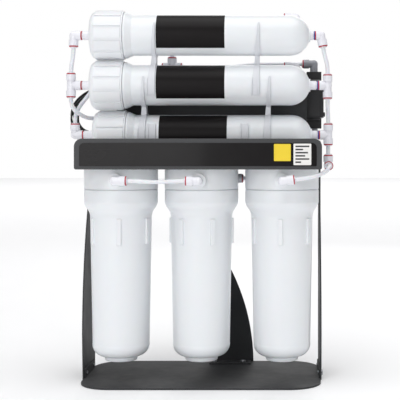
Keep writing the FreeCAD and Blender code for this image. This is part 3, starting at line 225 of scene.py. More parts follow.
@dataclass(frozen=True)
class Effect:
    """A shader effect that several finishes share, built once as a node group."""

    title: str
    inputs: tuple[tuple[str, float], ...]
    outputs: tuple[tuple[str, str], ...]

    def group(self) -> bpy.types.NodeTree:
        """The node group, built the first time it is asked for.

        Returns:
            The group.
        """
        made = bpy.data.node_groups.get(self.title)
        if made:
            return made
        made = bpy.data.node_groups.new(self.title, "ShaderNodeTree")
        for name, default in self.inputs:
            socket = made.interface.new_socket(name, in_out="INPUT", socket_type="NodeSocketFloat")
            socket.default_value = default
        for name, kind in self.outputs:
            made.interface.new_socket(name, in_out="OUTPUT", socket_type="NodeSocket" + kind)
        wiring = Wiring(made)
        inside = wiring.add("NodeGroupInput")
        outside = wiring.add("NodeGroupOutput")
        place = wiring.add("TexCoord").outputs["Object"]
        wiring.feed(outside, **self.wire(wiring, inside, place))
        return made

    def wire(self, wiring: Wiring, inside: bpy.types.Node,
             place: bpy.types.NodeSocket) -> dict[str, bpy.types.NodeSocket]:
        """Builds the effect.

        Args:
            wiring: the group's tree.
            inside: the group's input node.
            place: the position on the surface, in metres.

        Returns:
            A socket for each output, by name.
        """
        raise NotImplementedError

    def use(self, wiring: Wiring, **values: float) -> bpy.types.Node:
        """Places the effect in a material.

        Args:
            wiring: the material's tree.
            values: the effect's inputs, with _ for a space.

        Returns:
            The group node.
        """
        node = wiring.add("Group")
        node.node_tree = self.group()
        return wiring.feed(node, **values)


class ToneDrift(Effect):
    """Slow change of tone from one end of a moulding or a sheet to the other."""

    fineness = 5.0
    fine_share = 0.35
    contrast = (0.2, 0.8)

    def wire(self, wiring: Wiring, inside: bpy.types.Node,
             place: bpy.types.NodeSocket) -> dict[str, bpy.types.NodeSocket]:
        """Two sizes of soft noise, mixed.

        Args:
            wiring: the group's tree.
            inside: the group's input node.
            place: the position on the surface, in metres.

        Returns:
            The mask.
        """
        scale = wiring.maths("DIVIDE", 1.0, inside.outputs["Size"])
        broad = wiring.noise(place, scale, 1.0)
        fine = wiring.noise(place, wiring.maths("MULTIPLY", scale, self.fineness), 3.0)
        broad = wiring.maths("MULTIPLY", broad, 1.0 - self.fine_share)
        both = wiring.maths("MULTIPLY_ADD", fine, self.fine_share, broad)
        return {"Mask": wiring.ramp(both, *self.contrast)}


class FineGrain(Effect):
    """Fine relief of a moulded, cast or coated skin."""

    def wire(self, wiring: Wiring, inside: bpy.types.Node,
             place: bpy.types.NodeSocket) -> dict[str, bpy.types.NodeSocket]:
        """Noise and rounded cells of one size.

        Args:
            wiring: the group's tree.
            inside: the group's input node.
            place: the position on the surface, in metres.

        Returns:
            The height.
        """
        scale = wiring.maths("DIVIDE", 1.0, inside.outputs["Size"])
        rough = wiring.noise(place, scale, 4.0)
        cells = wiring.add("TexVoronoi", feature="SMOOTH_F1")
        wiring.feed(cells, Vector=place, Scale=scale)
        node = wiring.add("Mix", data_type="FLOAT")
        wiring.feed(node, i0=inside.outputs["Cells"], i2=rough, i3=cells.outputs["Distance"])
        return {"Height": node.outputs[0]}


class EdgeWear(Effect):
    """Softly broken edges, and the places along them that handling has rubbed."""

    bevel_samples = 6
    bend_range = (0.99, 0.86)
    patch_scale = 260.0
    patch_range = (0.42, 0.66)

    def wire(self, wiring: Wiring, inside: bpy.types.Node,
             place: bpy.types.NodeSocket) -> dict[str, bpy.types.NodeSocket]:
        """The rounded normal against the true one, broken up by noise.

        Args:
            wiring: the group's tree.
            inside: the group's input node.
            place: the position on the surface, in metres.

        Returns:
            The mask and the rounded normal.
        """
        rounded = wiring.feed(wiring.add("Bevel", samples=self.bevel_samples),
                              Radius=inside.outputs["Radius"])
        true = wiring.add("NewGeometry").outputs["Normal"]
        dot = wiring.add("VectorMath", operation="DOT_PRODUCT")
        wiring.feed(dot, i0=rounded.outputs[0], i1=true)
        bend = wiring.ramp(dot.outputs["Value"], *self.bend_range)
        broken = wiring.ramp(wiring.noise(place, self.patch_scale, 5.0), *self.patch_range)
        rubbed = wiring.maths("MULTIPLY", bend, broken)
        mask = wiring.maths("MULTIPLY", rubbed, inside.outputs["Amount"])
        return {"Mask": mask, "Normal": rounded.outputs[0]}


class SettledDust(Effect):
    """A thin veil of dust on faces that look upwards."""

    slope_range = (0.55, 1.0)
    patch_scale = 90.0
    patch_range = (0.3, 0.75)

    def wire(self, wiring: Wiring, inside: bpy.types.Node,
             place: bpy.types.NodeSocket) -> dict[str, bpy.types.NodeSocket]:
        """Upward slope times patchy noise.

        Args:
            wiring: the group's tree.
            inside: the group's input node.
            place: the position on the surface, in metres.

        Returns:
            The mask.
        """
        up = wiring.add("SeparateXYZ")
        wiring.feed(up, i0=wiring.add("NewGeometry").outputs["Normal"])
        slope = wiring.ramp(up.outputs[2], *self.slope_range)
        patches = wiring.ramp(wiring.noise(place, self.patch_scale, 6.0), *self.patch_range)
        mask = wiring.maths("MULTIPLY", slope, patches)
        return {"Mask": wiring.maths("MULTIPLY", mask, inside.outputs["Amount"])}


class Hairlines(Effect):
    """Short fine scratches from wiping, or the brushing of a sheet along X."""

    stretch = (30.0, 900.0, 900.0)
    slant = (0.0, 0.12, 0.05)
    crest_range = (0.52, 0.7)

    def wire(self, wiring: Wiring, inside: bpy.types.Node,
             place: bpy.types.NodeSocket) -> dict[str, bpy.types.NodeSocket]:
        """Noise stretched along X, cut to its crests.

        Args:
            wiring: the group's tree.
            inside: the group's input node.
            place: the position on the surface, in metres.

        Returns:
            The mask.
        """
        drawn = wiring.add("Mapping")
        wiring.feed(drawn, Vector=place, Scale=self.stretch, Rotation=self.slant)
        crests = wiring.ramp(wiring.noise(drawn.outputs[0], 1.0, 4.0), *self.crest_range)
        return {"Mask": wiring.maths("MULTIPLY", crests, inside.outputs["Amount"])}


@dataclass(frozen=True)
class TurnedRings(Effect):
    """Rings that a lathe or a winder leaves round an axis."""

    axis: str = "X"

    def wire(self, wiring: Wiring, inside: bpy.types.Node,
             place: bpy.types.NodeSocket) -> dict[str, bpy.types.NodeSocket]:
        """A wave along the axis.

        Args:
            wiring: the group's tree.
            inside: the group's input node.
            place: the position on the surface, in metres.

        Returns:
            The height.
        """
        wave = wiring.add("TexWave", wave_type="BANDS", bands_direction=self.axis)
        wiring.feed(wave, Vector=place, Scale=inside.outputs["Rings"], Distortion=0.6, Detail=2.0)
        return {"Height": wave.outputs[1]}


TONE_DRIFT = ToneDrift("tone_drift", (("Size", 0.05),), (("Mask", "Float"),))
FINE_GRAIN = FineGrain("fine_grain", (("Size", 0.001), ("Cells", 0.4)), (("Height", "Float"),))
EDGE_WEAR = EdgeWear("edge_wear", (("Radius", 0.0008), ("Amount", 0.5)),
                     (("Mask", "Float"), ("Normal", "Vector")))
SETTLED_DUST = SettledDust("settled_dust", (("Amount", 0.1),), (("Mask", "Float"),))
HAIRLINES = Hairlines("hairlines", (("Amount", 0.2),), (("Mask", "Float"),))
TURNED_RINGS = TurnedRings("turned_rings", (("Rings", 200.0),), (("Height", "Float"),))
UPRIGHT_RINGS = TurnedRings("upright_rings", (("Rings", 200.0),), (("Height", "Float"),), "Z")


@dataclass(frozen=True)
class Finish:
    """What one kind of surface is made of. Lengths in metres."""

    title: str
    colour: Colour
    shade: Colour
    roughness: float
    spread: float = 0.06
    metallic: float = 0.0
    coat: float = 0.0
    coat_roughness: float = 0.08
    drift_size: float = 0.06
    drift: float = 0.5
    grain: Grain = Grain.MOULDED
    grain_size: float = 0.0012
    relief: float = 0.00004
    edge: float = 0.0006
    wear: float = 0.0
    wear_colour: Colour = (0.6, 0.6, 0.6)
    dust: float = 0.06
    hairlines: float = 0.0
    rings: float = 0.0
    upright: bool = False
    subsurface: float = 0.0
    specular: float = 0.5

    def material(self) -> bpy.types.Material:
        """The finish as a material, built the first time it is asked for.

        Returns:
            The material.
        """
        made = bpy.data.materials.get(self.title)
        if made:
            return made
        made = bpy.data.materials.new(self.title)
        made.use_nodes = True
        wiring = Wiring(made.node_tree)
        skin = wiring.add("BsdfPrincipled")
        ready = wiring.add("OutputMaterial")
        wiring.feed(ready, Surface=skin.outputs[0])
        skin.inputs["Metallic"].default_value = self.metallic
        skin.inputs["Coat Weight"].default_value = self.coat
        skin.inputs["Coat Roughness"].default_value = self.coat_roughness
        skin.inputs["Specular IOR Level"].default_value = self.specular
        skin.inputs["Subsurface Weight"].default_value = self.subsurface
        skin.inputs["Subsurface Scale"].default_value = SCATTER_DEPTH
        drift = TONE_DRIFT.use(wiring, Size=self.drift_size).outputs["Mask"]
        dust = SETTLED_DUST.use(wiring, Amount=self.dust).outputs["Mask"]
        edges = EDGE_WEAR.use(wiring, Radius=self.edge, Amount=self.wear)
        lines = HAIRLINES.use(wiring, Amount=self.hairlines).outputs["Mask"]
        wiring.feed(skin, Base_Color=self.tint(wiring, drift, edges.outputs["Mask"], dust, lines),
                    Roughness=self.polish(wiring, drift, dust, lines),
                    Normal=self.surface(wiring, edges.outputs["Normal"], lines))
        return made

    def tint(self, wiring: Wiring, drift: bpy.types.NodeSocket, rubbed: bpy.types.NodeSocket,
             dust: bpy.types.NodeSocket, lines: bpy.types.NodeSocket) -> bpy.types.NodeSocket:
        """Colour over the surface.

        Args:
            wiring: the material's tree.
            drift: slow change of tone.
            rubbed: where edges are rubbed.
            dust: where dust lies.
            lines: where hairlines run.

        Returns:
            The colour.
        """
        share = wiring.maths("MULTIPLY", drift, self.drift)
        base = wiring.blend(share, (*self.colour, 1.0), (*self.shade, 1.0))
        bare = wiring.blend(rubbed, base, (*self.wear_colour, 1.0))
        drawn = wiring.maths("MULTIPLY", lines, HAIRLINE_TINT)
        marked = wiring.blend(drawn, bare, (*self.wear_colour, 1.0))
        return wiring.blend(dust, marked, (*DUST_COLOUR, 1.0))

    def polish(self, wiring: Wiring, drift: bpy.types.NodeSocket, dust: bpy.types.NodeSocket,
               lines: bpy.types.NodeSocket) -> bpy.types.NodeSocket:
        """Roughness over the surface.

        Args:
            wiring: the material's tree.
            drift: slow change of tone.
            dust: where dust lies.
            lines: where hairlines run.

        Returns:
            The roughness.
        """
        low, high = self.roughness - self.spread, self.roughness + self.spread
        even = wiring.ramp(drift, 0.0, 1.0, low, high)
        scuffed = wiring.maths("ADD", even, wiring.maths("MULTIPLY", lines, HAIRLINE_SCUFF))
        return wiring.maths("ADD", scuffed, wiring.maths("MULTIPLY", dust, DUST_SCUFF))

    def surface(self, wiring: Wiring, rounded: bpy.types.NodeSocket,
                lines: bpy.types.NodeSocket) -> bpy.types.NodeSocket:
        """Fine relief over the surface.

        Args:
            wiring: the material's tree.
            rounded: the normal with its edges broken.
            lines: where hairlines run.

        Returns:
            The normal.
        """
        height = FINE_GRAIN.use(wiring, Size=self.grain_size,
                                Cells=self.grain.value).outputs["Height"]
        if self.hairlines:
            height = wiring.maths("MULTIPLY_ADD", lines, HAIRLINE_DEPTH, height)
        if self.rings:
            ringed = UPRIGHT_RINGS if self.upright else TURNED_RINGS
            turned = ringed.use(wiring, Rings=self.rings).outputs["Height"]
            height = wiring.maths("MULTIPLY_ADD", turned, RING_HEIGHT, height)
        bump = wiring.feed(wiring.add("Bump"), Height=height, Strength=1.0, Distance=self.relief,
                           Normal=rounded)
        return bump.outputs[0]


ZINC = tone(176, 178, 182)
RAW_STEEL = tone(150, 150, 152)

POWDER_COAT = Finish(
    "powder_coated_steel", tone(52, 53, 55), tone(57, 58, 60), 0.56, spread=0.06, specular=0.28,
    drift_size=0.09, grain=Grain.ORANGE_PEEL, grain_size=0.0011, relief=0.00005,
    edge=0.0005, wear=0.35, wear_colour=RAW_STEEL, dust=0.03, hairlines=0.04)
PANEL_COAT = Finish(
    "panel_powder_coat", tone(66, 67, 69), tone(72, 73, 75), 0.46, spread=0.06, specular=0.30,
    drift_size=0.08, grain=Grain.ORANGE_PEEL, grain_size=0.0011, relief=0.00004,
    edge=0.0008, wear=0.25, wear_colour=RAW_STEEL, dust=0.03, hairlines=0.03)
LABEL_FILM = Finish(
    "gloss_label_film", tone(20, 18, 19), tone(25, 22, 23), 0.24, spread=0.04, coat=0.08,
    coat_roughness=0.06, drift_size=0.12, grain=Grain.ORANGE_PEEL, grain_size=0.004,
    relief=0.00002, edge=0.0002, dust=0.01, hairlines=0.03, wear_colour=tone(70, 68, 70),
    specular=0.18)
WRAP_LABEL = Finish(
    "wrapped_label_film", tone(19, 16, 17), tone(23, 20, 21), 0.42, spread=0.04, coat=0.03,
    coat_roughness=0.20, drift_size=0.05, grain=Grain.ORANGE_PEEL, grain_size=0.003,
    relief=0.00002, edge=0.0002, dust=0.01, hairlines=0.02, wear_colour=tone(70, 68, 70),
    specular=0.12)
WHITE_MOULDING = Finish(
    "white_moulding", tone(236, 239, 242), tone(232, 235, 239), 0.30, spread=0.015,
    drift=0.4, drift_size=0.12, grain_size=0.0010, relief=0.00001, edge=0.0004, wear=0.05,
    wear_colour=tone(222, 224, 226), dust=0.03, hairlines=0.03, subsurface=0.05)
RIBBED_MOULDING = Finish(
    "ribbed_white_moulding", tone(237, 239, 242), tone(231, 234, 238), 0.34, spread=0.04,
    drift_size=0.06, grain=Grain.MOULDED, grain_size=0.0009, relief=0.00002, edge=0.0006,
    wear=0.08, wear_colour=tone(212, 214, 218), dust=0.05, hairlines=0.03, subsurface=0.05)
FITTING_WHITE = Finish(
    "white_acetal_fitting", tone(238, 238, 243), tone(228, 228, 238), 0.26, spread=0.05,
    drift_size=0.02, grain=Grain.MOULDED, grain_size=0.0006, relief=0.000015, edge=0.0005,
    dust=0.04)
# Painted shade: the pump elbows sit in shade behind the housings, and their mid grey stands in for that
# shade.
FITTING_SHADED_GREY = Finish(
    "grey_fitting_painted_shade", tone(146, 148, 154), tone(134, 136, 144), 0.32, spread=0.05,
    drift_size=0.02, grain=Grain.MOULDED, grain_size=0.0006, relief=0.00002, edge=0.0005,
    dust=0.04)
# Painted shade: the clips' nylon is drawn greyer than the housings' white. A slight real difference is
# deepened to stand in for the shade along the clips' raised sides.
CLAMP_SHADED_WHITE = Finish(
    "white_clamp_nylon_painted_shade", tone(222, 224, 229), tone(213, 215, 221), 0.38, spread=0.06,
    drift_size=0.03, grain=Grain.MOULDED, grain_size=0.0007, relief=0.00003, edge=0.0007,
    wear=0.12, wear_colour=tone(200, 200, 206), dust=0.06)
CLIP_RED = Finish(
    "red_locking_clip", tone(186, 42, 58), tone(164, 34, 50), 0.30, spread=0.05,
    drift_size=0.01, grain=Grain.MOULDED, grain_size=0.0005, relief=0.000015, edge=0.0003,
    dust=0.03)
CLIP_BLUE = Finish(
    "blue_locking_clip", tone(52, 64, 150), tone(44, 54, 132), 0.30, spread=0.05,
    drift_size=0.01, grain=Grain.MOULDED, grain_size=0.0005, relief=0.000015, edge=0.0003,
    dust=0.03)
MILKY_TUBE = Finish(
    "milky_tube", tone(236, 237, 241), tone(222, 225, 232), 0.24, spread=0.05,
    drift_size=0.03, grain=Grain.SMOOTH, grain_size=0.0020, relief=0.00002, edge=0.0003,
    dust=0.04, hairlines=0.06, wear_colour=tone(244, 245, 248), subsurface=0.15)
RUBBER_SEAL = Finish(
    "black_rubber_seal", tone(30, 30, 31), tone(38, 38, 39), 0.58, spread=0.06,
    drift_size=0.02, grain=Grain.CAST, grain_size=0.0005, relief=0.00003, edge=0.0004,
    dust=0.08)
SPUN_MEDIA = Finish(
    "spun_sediment_media", tone(232, 230, 222), tone(214, 211, 200), 0.86, spread=0.05,
    drift_size=0.03, grain=Grain.CAST, grain_size=0.0011, relief=0.00035, edge=0.0012,
    dust=0.0, rings=160.0, upright=True)
MEMBRANE_WRAP = Finish(
    "membrane_wrap", tone(205, 214, 222), tone(188, 198, 210), 0.36, spread=0.06, coat=0.3,
    drift_size=0.04, grain=Grain.ORANGE_PEEL, grain_size=0.0030, relief=0.00010,
    edge=0.0008, dust=0.0, rings=90.0)
BLACK_PUMP = Finish(
    "black_pump_nylon", tone(26, 26, 28), tone(34, 34, 37), 0.44, spread=0.07,
    drift_size=0.03, grain=Grain.CAST, grain_size=0.0008, relief=0.00006, edge=0.0008,
    wear=0.18, wear_colour=tone(82, 82, 86), dust=0.10)
MOTOR_SHELL = Finish(
    "painted_motor_shell", tone(44, 45, 48), tone(54, 55, 58), 0.40, spread=0.06,
    drift_size=0.04, grain=Grain.ORANGE_PEEL, grain_size=0.0010, relief=0.00005,
    edge=0.0007, wear=0.40, wear_colour=RAW_STEEL, dust=0.10)
TURNED_STEEL = Finish(
    "turned_steel", tone(178, 179, 183), tone(160, 161, 166), 0.28, spread=0.06,
    metallic=1.0, drift_size=0.02, grain=Grain.SMOOTH, grain_size=0.0004,
    relief=0.00003, edge=0.0003, dust=0.0, hairlines=0.3, rings=500.0,
    wear_colour=tone(210, 210, 214))
ZINC_SCREW = Finish(
    "zinc_plated_screw", ZINC, tone(150, 152, 158), 0.30, spread=0.08, metallic=1.0,
    drift_size=0.01, grain=Grain.CAST, grain_size=0.0004, relief=0.00002, edge=0.0003,
    wear=0.3, wear_colour=tone(120, 118, 114), dust=0.05, hairlines=0.2)
CONTROL_BOX = Finish(
    "black_control_box", tone(34, 35, 37), tone(42, 43, 46), 0.50, spread=0.06,
    drift_size=0.04, grain=Grain.CAST, grain_size=0.0008, relief=0.00007, edge=0.0008,
    wear=0.15, wear_colour=tone(90, 90, 94), dust=0.10)
CABLE_SLEEVE = Finish(
    "cable_sleeve", tone(24, 24, 25), tone(34, 34, 36), 0.40, spread=0.06,
    drift_size=0.02, grain=Grain.ORANGE_PEEL, grain_size=0.0008, relief=0.00003,
    edge=0.0002, dust=0.08)
TIE_NYLON = Finish(
    "cable_tie_nylon", tone(30, 30, 31), tone(40, 40, 42), 0.36, spread=0.05,
    drift_size=0.01, grain=Grain.MOULDED, grain_size=0.0004, relief=0.00002, edge=0.0002,
    dust=0.05)
YELLOW_PAPER = Finish(
    "yellow_sticker_paper", tone(242, 212, 46), tone(236, 204, 40), 0.40, spread=0.05,
    coat=0.15, drift_size=0.02, grain=Grain.CAST, grain_size=0.0005, relief=0.00002,
    edge=0.0001, dust=0.03)
WHITE_PAPER = Finish(
    "white_sticker_paper", tone(240, 239, 236), tone(232, 231, 228), 0.46, spread=0.05,
    drift_size=0.02, grain=Grain.CAST, grain_size=0.0005, relief=0.00002, edge=0.0001,
    dust=0.03)
PRINT_INK = Finish(
    "black_print", tone(34, 34, 36), tone(42, 42, 44), 0.5, spread=0.04, drift_size=0.01,
    grain=Grain.CAST, grain_size=0.0004, relief=0.00001, edge=0.0, dust=0.02)
BARE_ALUMINIUM = Finish(
    "bare_aluminium_plate", tone(196, 197, 200), tone(180, 181, 186), 0.34, spread=0.06,
    metallic=1.0, drift_size=0.02, grain=Grain.SMOOTH, grain_size=0.0004, relief=0.00002,
    edge=0.0002, dust=0.05, hairlines=0.5, wear_colour=tone(150, 150, 154))


class Shell:
    """Mesh making that several sub-assemblies share."""

    @staticmethod
    def piece(title: str, vertices: list[Vector], faces: list[tuple[int, ...]], finish: Finish,
              slot: Slot, body: str = "frame", smooth: bool = False) -> bpy.types.Object:
        """Makes a piece from vertices and faces, dresses it and rides it on a body.

        Args:
            title: the piece's name.
            vertices: its points, in metres.
            faces: its faces, as vertex numbers.
            finish: what it is made of.
            slot: not used.
            body: the body it moves with.
            smooth: whether its faces shade as one curved skin.

        Returns:
            The new object.
        """
        mesh = bpy.data.meshes.new(title)
        mesh.from_pydata([tuple(v) for v in vertices], [], faces)
        mesh.validate()
        mesh.shade_smooth() if smooth else mesh.shade_flat()
        made = bpy.data.objects.new(title, mesh)
        bpy.context.scene.collection.objects.link(made)
        mesh.materials.append(finish.material())
        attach(made, body)
        return made

    @staticmethod
    def rounded_outline(width: float, height: float, corner: float, steps: int = 5
                        ) -> list[tuple[float, float]]:
        """Outline of a rectangle with rounded corners, about its middle.

        Args:
            width: its size across.
            height: its size upwards.
            corner: its corners' radius.
            steps: points in each corner, less one.

        Returns:
            Its points, counterclockwise.
        """
        points = []
        for turn, (side, rise) in enumerate(((1, 1), (-1, 1), (-1, -1), (1, -1))):
            centre = (side * (width / 2 - corner), rise * (height / 2 - corner))
            for step in range(steps + 1):
                angle = math.pi / 2 * (turn + step / steps)
                points.append((centre[0] + corner * math.cos(angle),
                               centre[1] + corner * math.sin(angle)))
        return points

    @staticmethod
    def slab(low: Vector, high: Vector) -> tuple[list[Vector], list[tuple[int, ...]]]:
        """A box between two corners.

        Args:
            low: its lowest corner.
            high: its highest corner.

        Returns:
            Its vertices and faces.
        """
        points = [Vector((x, y, z)) for z in (low.z, high.z) for y in (low.y, high.y)
                  for x in (low.x, high.x)]
        return points, [(0, 2, 3, 1), (4, 5, 7, 6), (0, 1, 5, 4), (2, 6, 7, 3), (0, 4, 6, 2),
                        (1, 3, 7, 5)]

    @staticmethod
    def sweep(rings: list[list[Vector]]) -> tuple[list[Vector], list[tuple[int, ...]]]:
        """Closed tube through rings of points, each joined to the next and the last to the first.

        Args:
            rings: rings with the same number of points.

        Returns:
            Its vertices and faces.
        """
        count = len(rings[0])
        faces = []
        for place in range(len(rings)):
            after = (place + 1) % len(rings)
            for step in range(count):
                turn = (step + 1) % count
                faces.append((place * count + step, place * count + turn,
                              after * count + turn, after * count + step))
        return [point for ring in rings for point in ring], faces


@dataclass
class SubAssembly:
    """Part of the unit: CAD nodes to dress, and pieces built beside them."""

    title: str
    finishes: dict[str, Finish] = field(default_factory=dict)

    def dress(self) -> None:
        """Gives each CAD node of the sub-assembly its finish."""
        for name, node in frame["nodes"].items():
            finish = self.finishes.get(name.rstrip("123").rstrip("_")) or self.finishes.get(name)
            if finish is None:
                continue
            material = finish.material()
            if not node.material_slots:
                node.data.materials.append(material)
            for place in node.material_slots:
                place.material = material
            LOG.info("%s: %s wears %s", self.title, name, finish.title)

    def build(self) -> list[bpy.types.Object]:
        """Builds the pieces beside the CAD nodes."""
        return []

    def make(self) -> None:
        """Dresses the nodes, builds the pieces and reports them."""
        self.dress()
        for piece in self.build():
            LOG.info("%s: built %s", self.title, piece.name)


@dataclass
class SheetMetalFrame(SubAssembly):
    """Bent and powder-coated sheets, the front panel and its film."""

    title: str = "sheet_metal_frame"
    finishes: dict[str, Finish] = field(default_factory=lambda: {
        "base_plate": POWDER_COAT, "left_side_plate": POWDER_COAT,
        "right_side_plate": POWDER_COAT, "rear_leg": POWDER_COAT, "top_deck": POWDER_COAT,
        "back_plate": POWDER_COAT, "front_panel": PANEL_COAT, "panel_label": LABEL_FILM,
        "frame_screws": ZINC_SCREW})
    sticker_thick: float = 0.15 * MM
    sticker_gap: float = 0.01 * MM
    sticker_corner: float = 1.2 * MM
    sticker_taper: float = 0.999
    yellow_place: tuple[float, float, float, float] = (113 * MM, 138 * MM, 343.5 * MM, 369 * MM)
    white_place: tuple[float, float, float, float] = (142 * MM, 168.5 * MM, 337.5 * MM, 369.5 * MM)
    rule_shares: tuple[float, ...] = (1.0, 0.55, 0.9, 0.7, 1.0, 0.4)
    rule_pitch: float = 4.7 * MM
    rule_width: float = 2.2 * MM
    sticker_margin: float = 3.0 * MM
    ink_depths: tuple[float, float] = (0.02 * MM, 0.002 * MM)

    def build(self) -> list[bpy.types.Object]:
        """Two stickers on the film of the front panel, one bare and one ruled.

        Returns:
            The stickers and the rules.
        """
        return [self.sticker("yellow_sticker", self.yellow_place, YELLOW_PAPER),
                self.sticker("white_sticker", self.white_place, WHITE_PAPER), self.rules()]

    def rules(self) -> bpy.types.Object:
        """Plain ruled lines printed on the white sticker.

        Returns:
            The lines, as one piece.
        """
        left, right, _, high = self.white_place
        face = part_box("panel_label")[0].y - self.sticker_thick
        start, reach = left + self.sticker_margin, right - left - 2 * self.sticker_margin
        front, back = (face - depth for depth in self.ink_depths)
        vertices: list[Vector] = []
        faces: list[tuple[int, ...]] = []
        for row, share in enumerate(self.rule_shares):
            top = high - self.sticker_margin - row * self.rule_pitch
            slab = Shell.slab(Vector((start, front, top - self.rule_width)),
                              Vector((start + share * reach, back, top)))
            faces += [tuple(len(vertices) + corner for corner in side) for side in slab[1]]
            vertices += slab[0]
        return Shell.piece("sticker_rules", vertices, faces, PRINT_INK, Slot.PAPER)

    def sticker(self, title: str, place: tuple[float, float, float, float], finish: Finish
                ) -> bpy.types.Object:
        """One sticker with rounded corners, standing on the film.

        Args:
            title: its name.
            place: left, right, lower and upper edges.
            finish: its paper.

        Returns:
            The sticker.
        """
        left, right, low, high = place
        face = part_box("panel_label")[0].y
        outline = Shell.rounded_outline(right - left, high - low, self.sticker_corner)
        middle = Vector(((left + right) / 2, 0, (low + high) / 2))
        count = len(outline)
        levels = [(face - self.sticker_gap, 1.0), (face - self.sticker_thick, self.sticker_taper)]
        vertices = [Vector((middle.x + x * share, depth, middle.z + z * share))
                    for depth, share in levels for x, z in outline]
        faces = [tuple(range(count)), tuple(range(2 * count - 1, count - 1, -1))]
        faces += [(k, k + count, (k + 1) % count + count, (k + 1) % count) for k in range(count)]
        return Shell.piece(title, vertices, faces, finish, Slot.PAPER)


@dataclass
class PrefilterRow(SubAssembly):
    """Three filter heads with their screwed bowls, seals and cartridges."""

    title: str = "prefilter_row"
    finishes: dict[str, Finish] = field(default_factory=lambda: {
        "filter_head": WHITE_MOULDING, "sump": WHITE_MOULDING, "sump_seal": RUBBER_SEAL,
        "cartridge": SPUN_MEDIA})


@dataclass
class MembraneStack(SubAssembly):
    """Three membrane housings with caps, wrapped labels, elements and clips."""

    title: str = "membrane_stack"
    finishes: dict[str, Finish] = field(default_factory=lambda: {
        "membrane_housing": WHITE_MOULDING, "membrane_cap": RIBBED_MOULDING,
        "membrane_elements": MEMBRANE_WRAP, "cap_seals": RUBBER_SEAL,
        "housing_labels": WRAP_LABEL, "upper_clips": CLAMP_SHADED_WHITE,
        "middle_clips": CLAMP_SHADED_WHITE, "lower_clips": CLAMP_SHADED_WHITE})


@dataclass
class Plumbing(SubAssembly):
    """Push-fit fittings, their collets and locking clips, and the tubes between them."""

    title: str = "plumbing"
    finishes: dict[str, Finish] = field(default_factory=lambda: {
        "port_adapters": FITTING_WHITE, "left_fittings": FITTING_WHITE,
        "right_fittings": FITTING_WHITE, "front_elbows": FITTING_WHITE,
        "brine_fittings": FITTING_WHITE, "suction_fittings": FITTING_WHITE,
        "pump_elbows": FITTING_SHADED_GREY, "feed_inlet_fitting": FITTING_WHITE,
        "permeate_outlet_fitting": FITTING_WHITE, "drain_outlet_fitting": FITTING_WHITE,
        "collets": FITTING_WHITE, "red_locking_clips": CLIP_RED,
        "blue_locking_clips": CLIP_BLUE, "feed_tubes": MILKY_TUBE,
        "brine_tubes": MILKY_TUBE, "front_tubes": MILKY_TUBE, "right_tubes": MILKY_TUBE,
        "suction_tubes": MILKY_TUBE, "flow_restrictor": FITTING_WHITE,
        "solenoid_valve": FITTING_WHITE, "solenoid_plunger": TURNED_STEEL})


@dataclass
class BoosterPump(SubAssembly):
    """Pump and motor on their cradle, with a bare plate on the motor."""

    title: str = "booster_pump"
    finishes: dict[str, Finish] = field(default_factory=lambda: {
        "pump_motor": MOTOR_SHELL, "pump_head": BLACK_PUMP, "pump_rotor": TURNED_STEEL,
        "pump_cradle": BLACK_PUMP})
    plate_thick: float = 0.3 * MM
    plate_gap: float = 0.05 * MM
    plate_half_angle: float = math.radians(26)
    plate_ends: tuple[float, float] = (58 * MM, 112 * MM)
    plate_steps: int = 14

    def build(self) -> list[bpy.types.Object]:
        """The bare rating plate, curved round the back of the motor.

        Returns:
            The plate.
        """
        axis = next(joint for joint in frame["joints"] if joint["name"] == "pump_shaft_turn")
        centre = Vector(axis["pos_m"])
        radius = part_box("pump_motor")[1].z - centre.z
        steps = self.plate_steps
        rings = []
        for depth in (self.plate_gap, self.plate_gap + self.plate_thick):
            for along in self.plate_ends:
                ring = []
                for step in range(steps + 1):
                    angle = self.plate_half_angle * (2 * step / steps - 1)
                    reach = radius + depth
                    ring.append(Vector((along, centre.y + reach * math.cos(angle),
                                        centre.z + reach * math.sin(angle))))
                rings.append(ring)
        near_left, near_right, far_left, far_right = rings
        count = steps + 1
        vertices = near_left + near_right + far_right + far_left
        faces = []
        for ring in range(4):
            after = (ring + 1) % 4
            for step in range(steps):
                faces.append((ring * count + step, after * count + step,
                              after * count + step + 1, ring * count + step + 1))
        faces += [tuple(ring * count for ring in (3, 2, 1, 0)),
                  tuple(ring * count + steps for ring in range(4))]
        return [Shell.piece("motor_plate", vertices, faces, BARE_ALUMINIUM, Slot.MOTOR)]


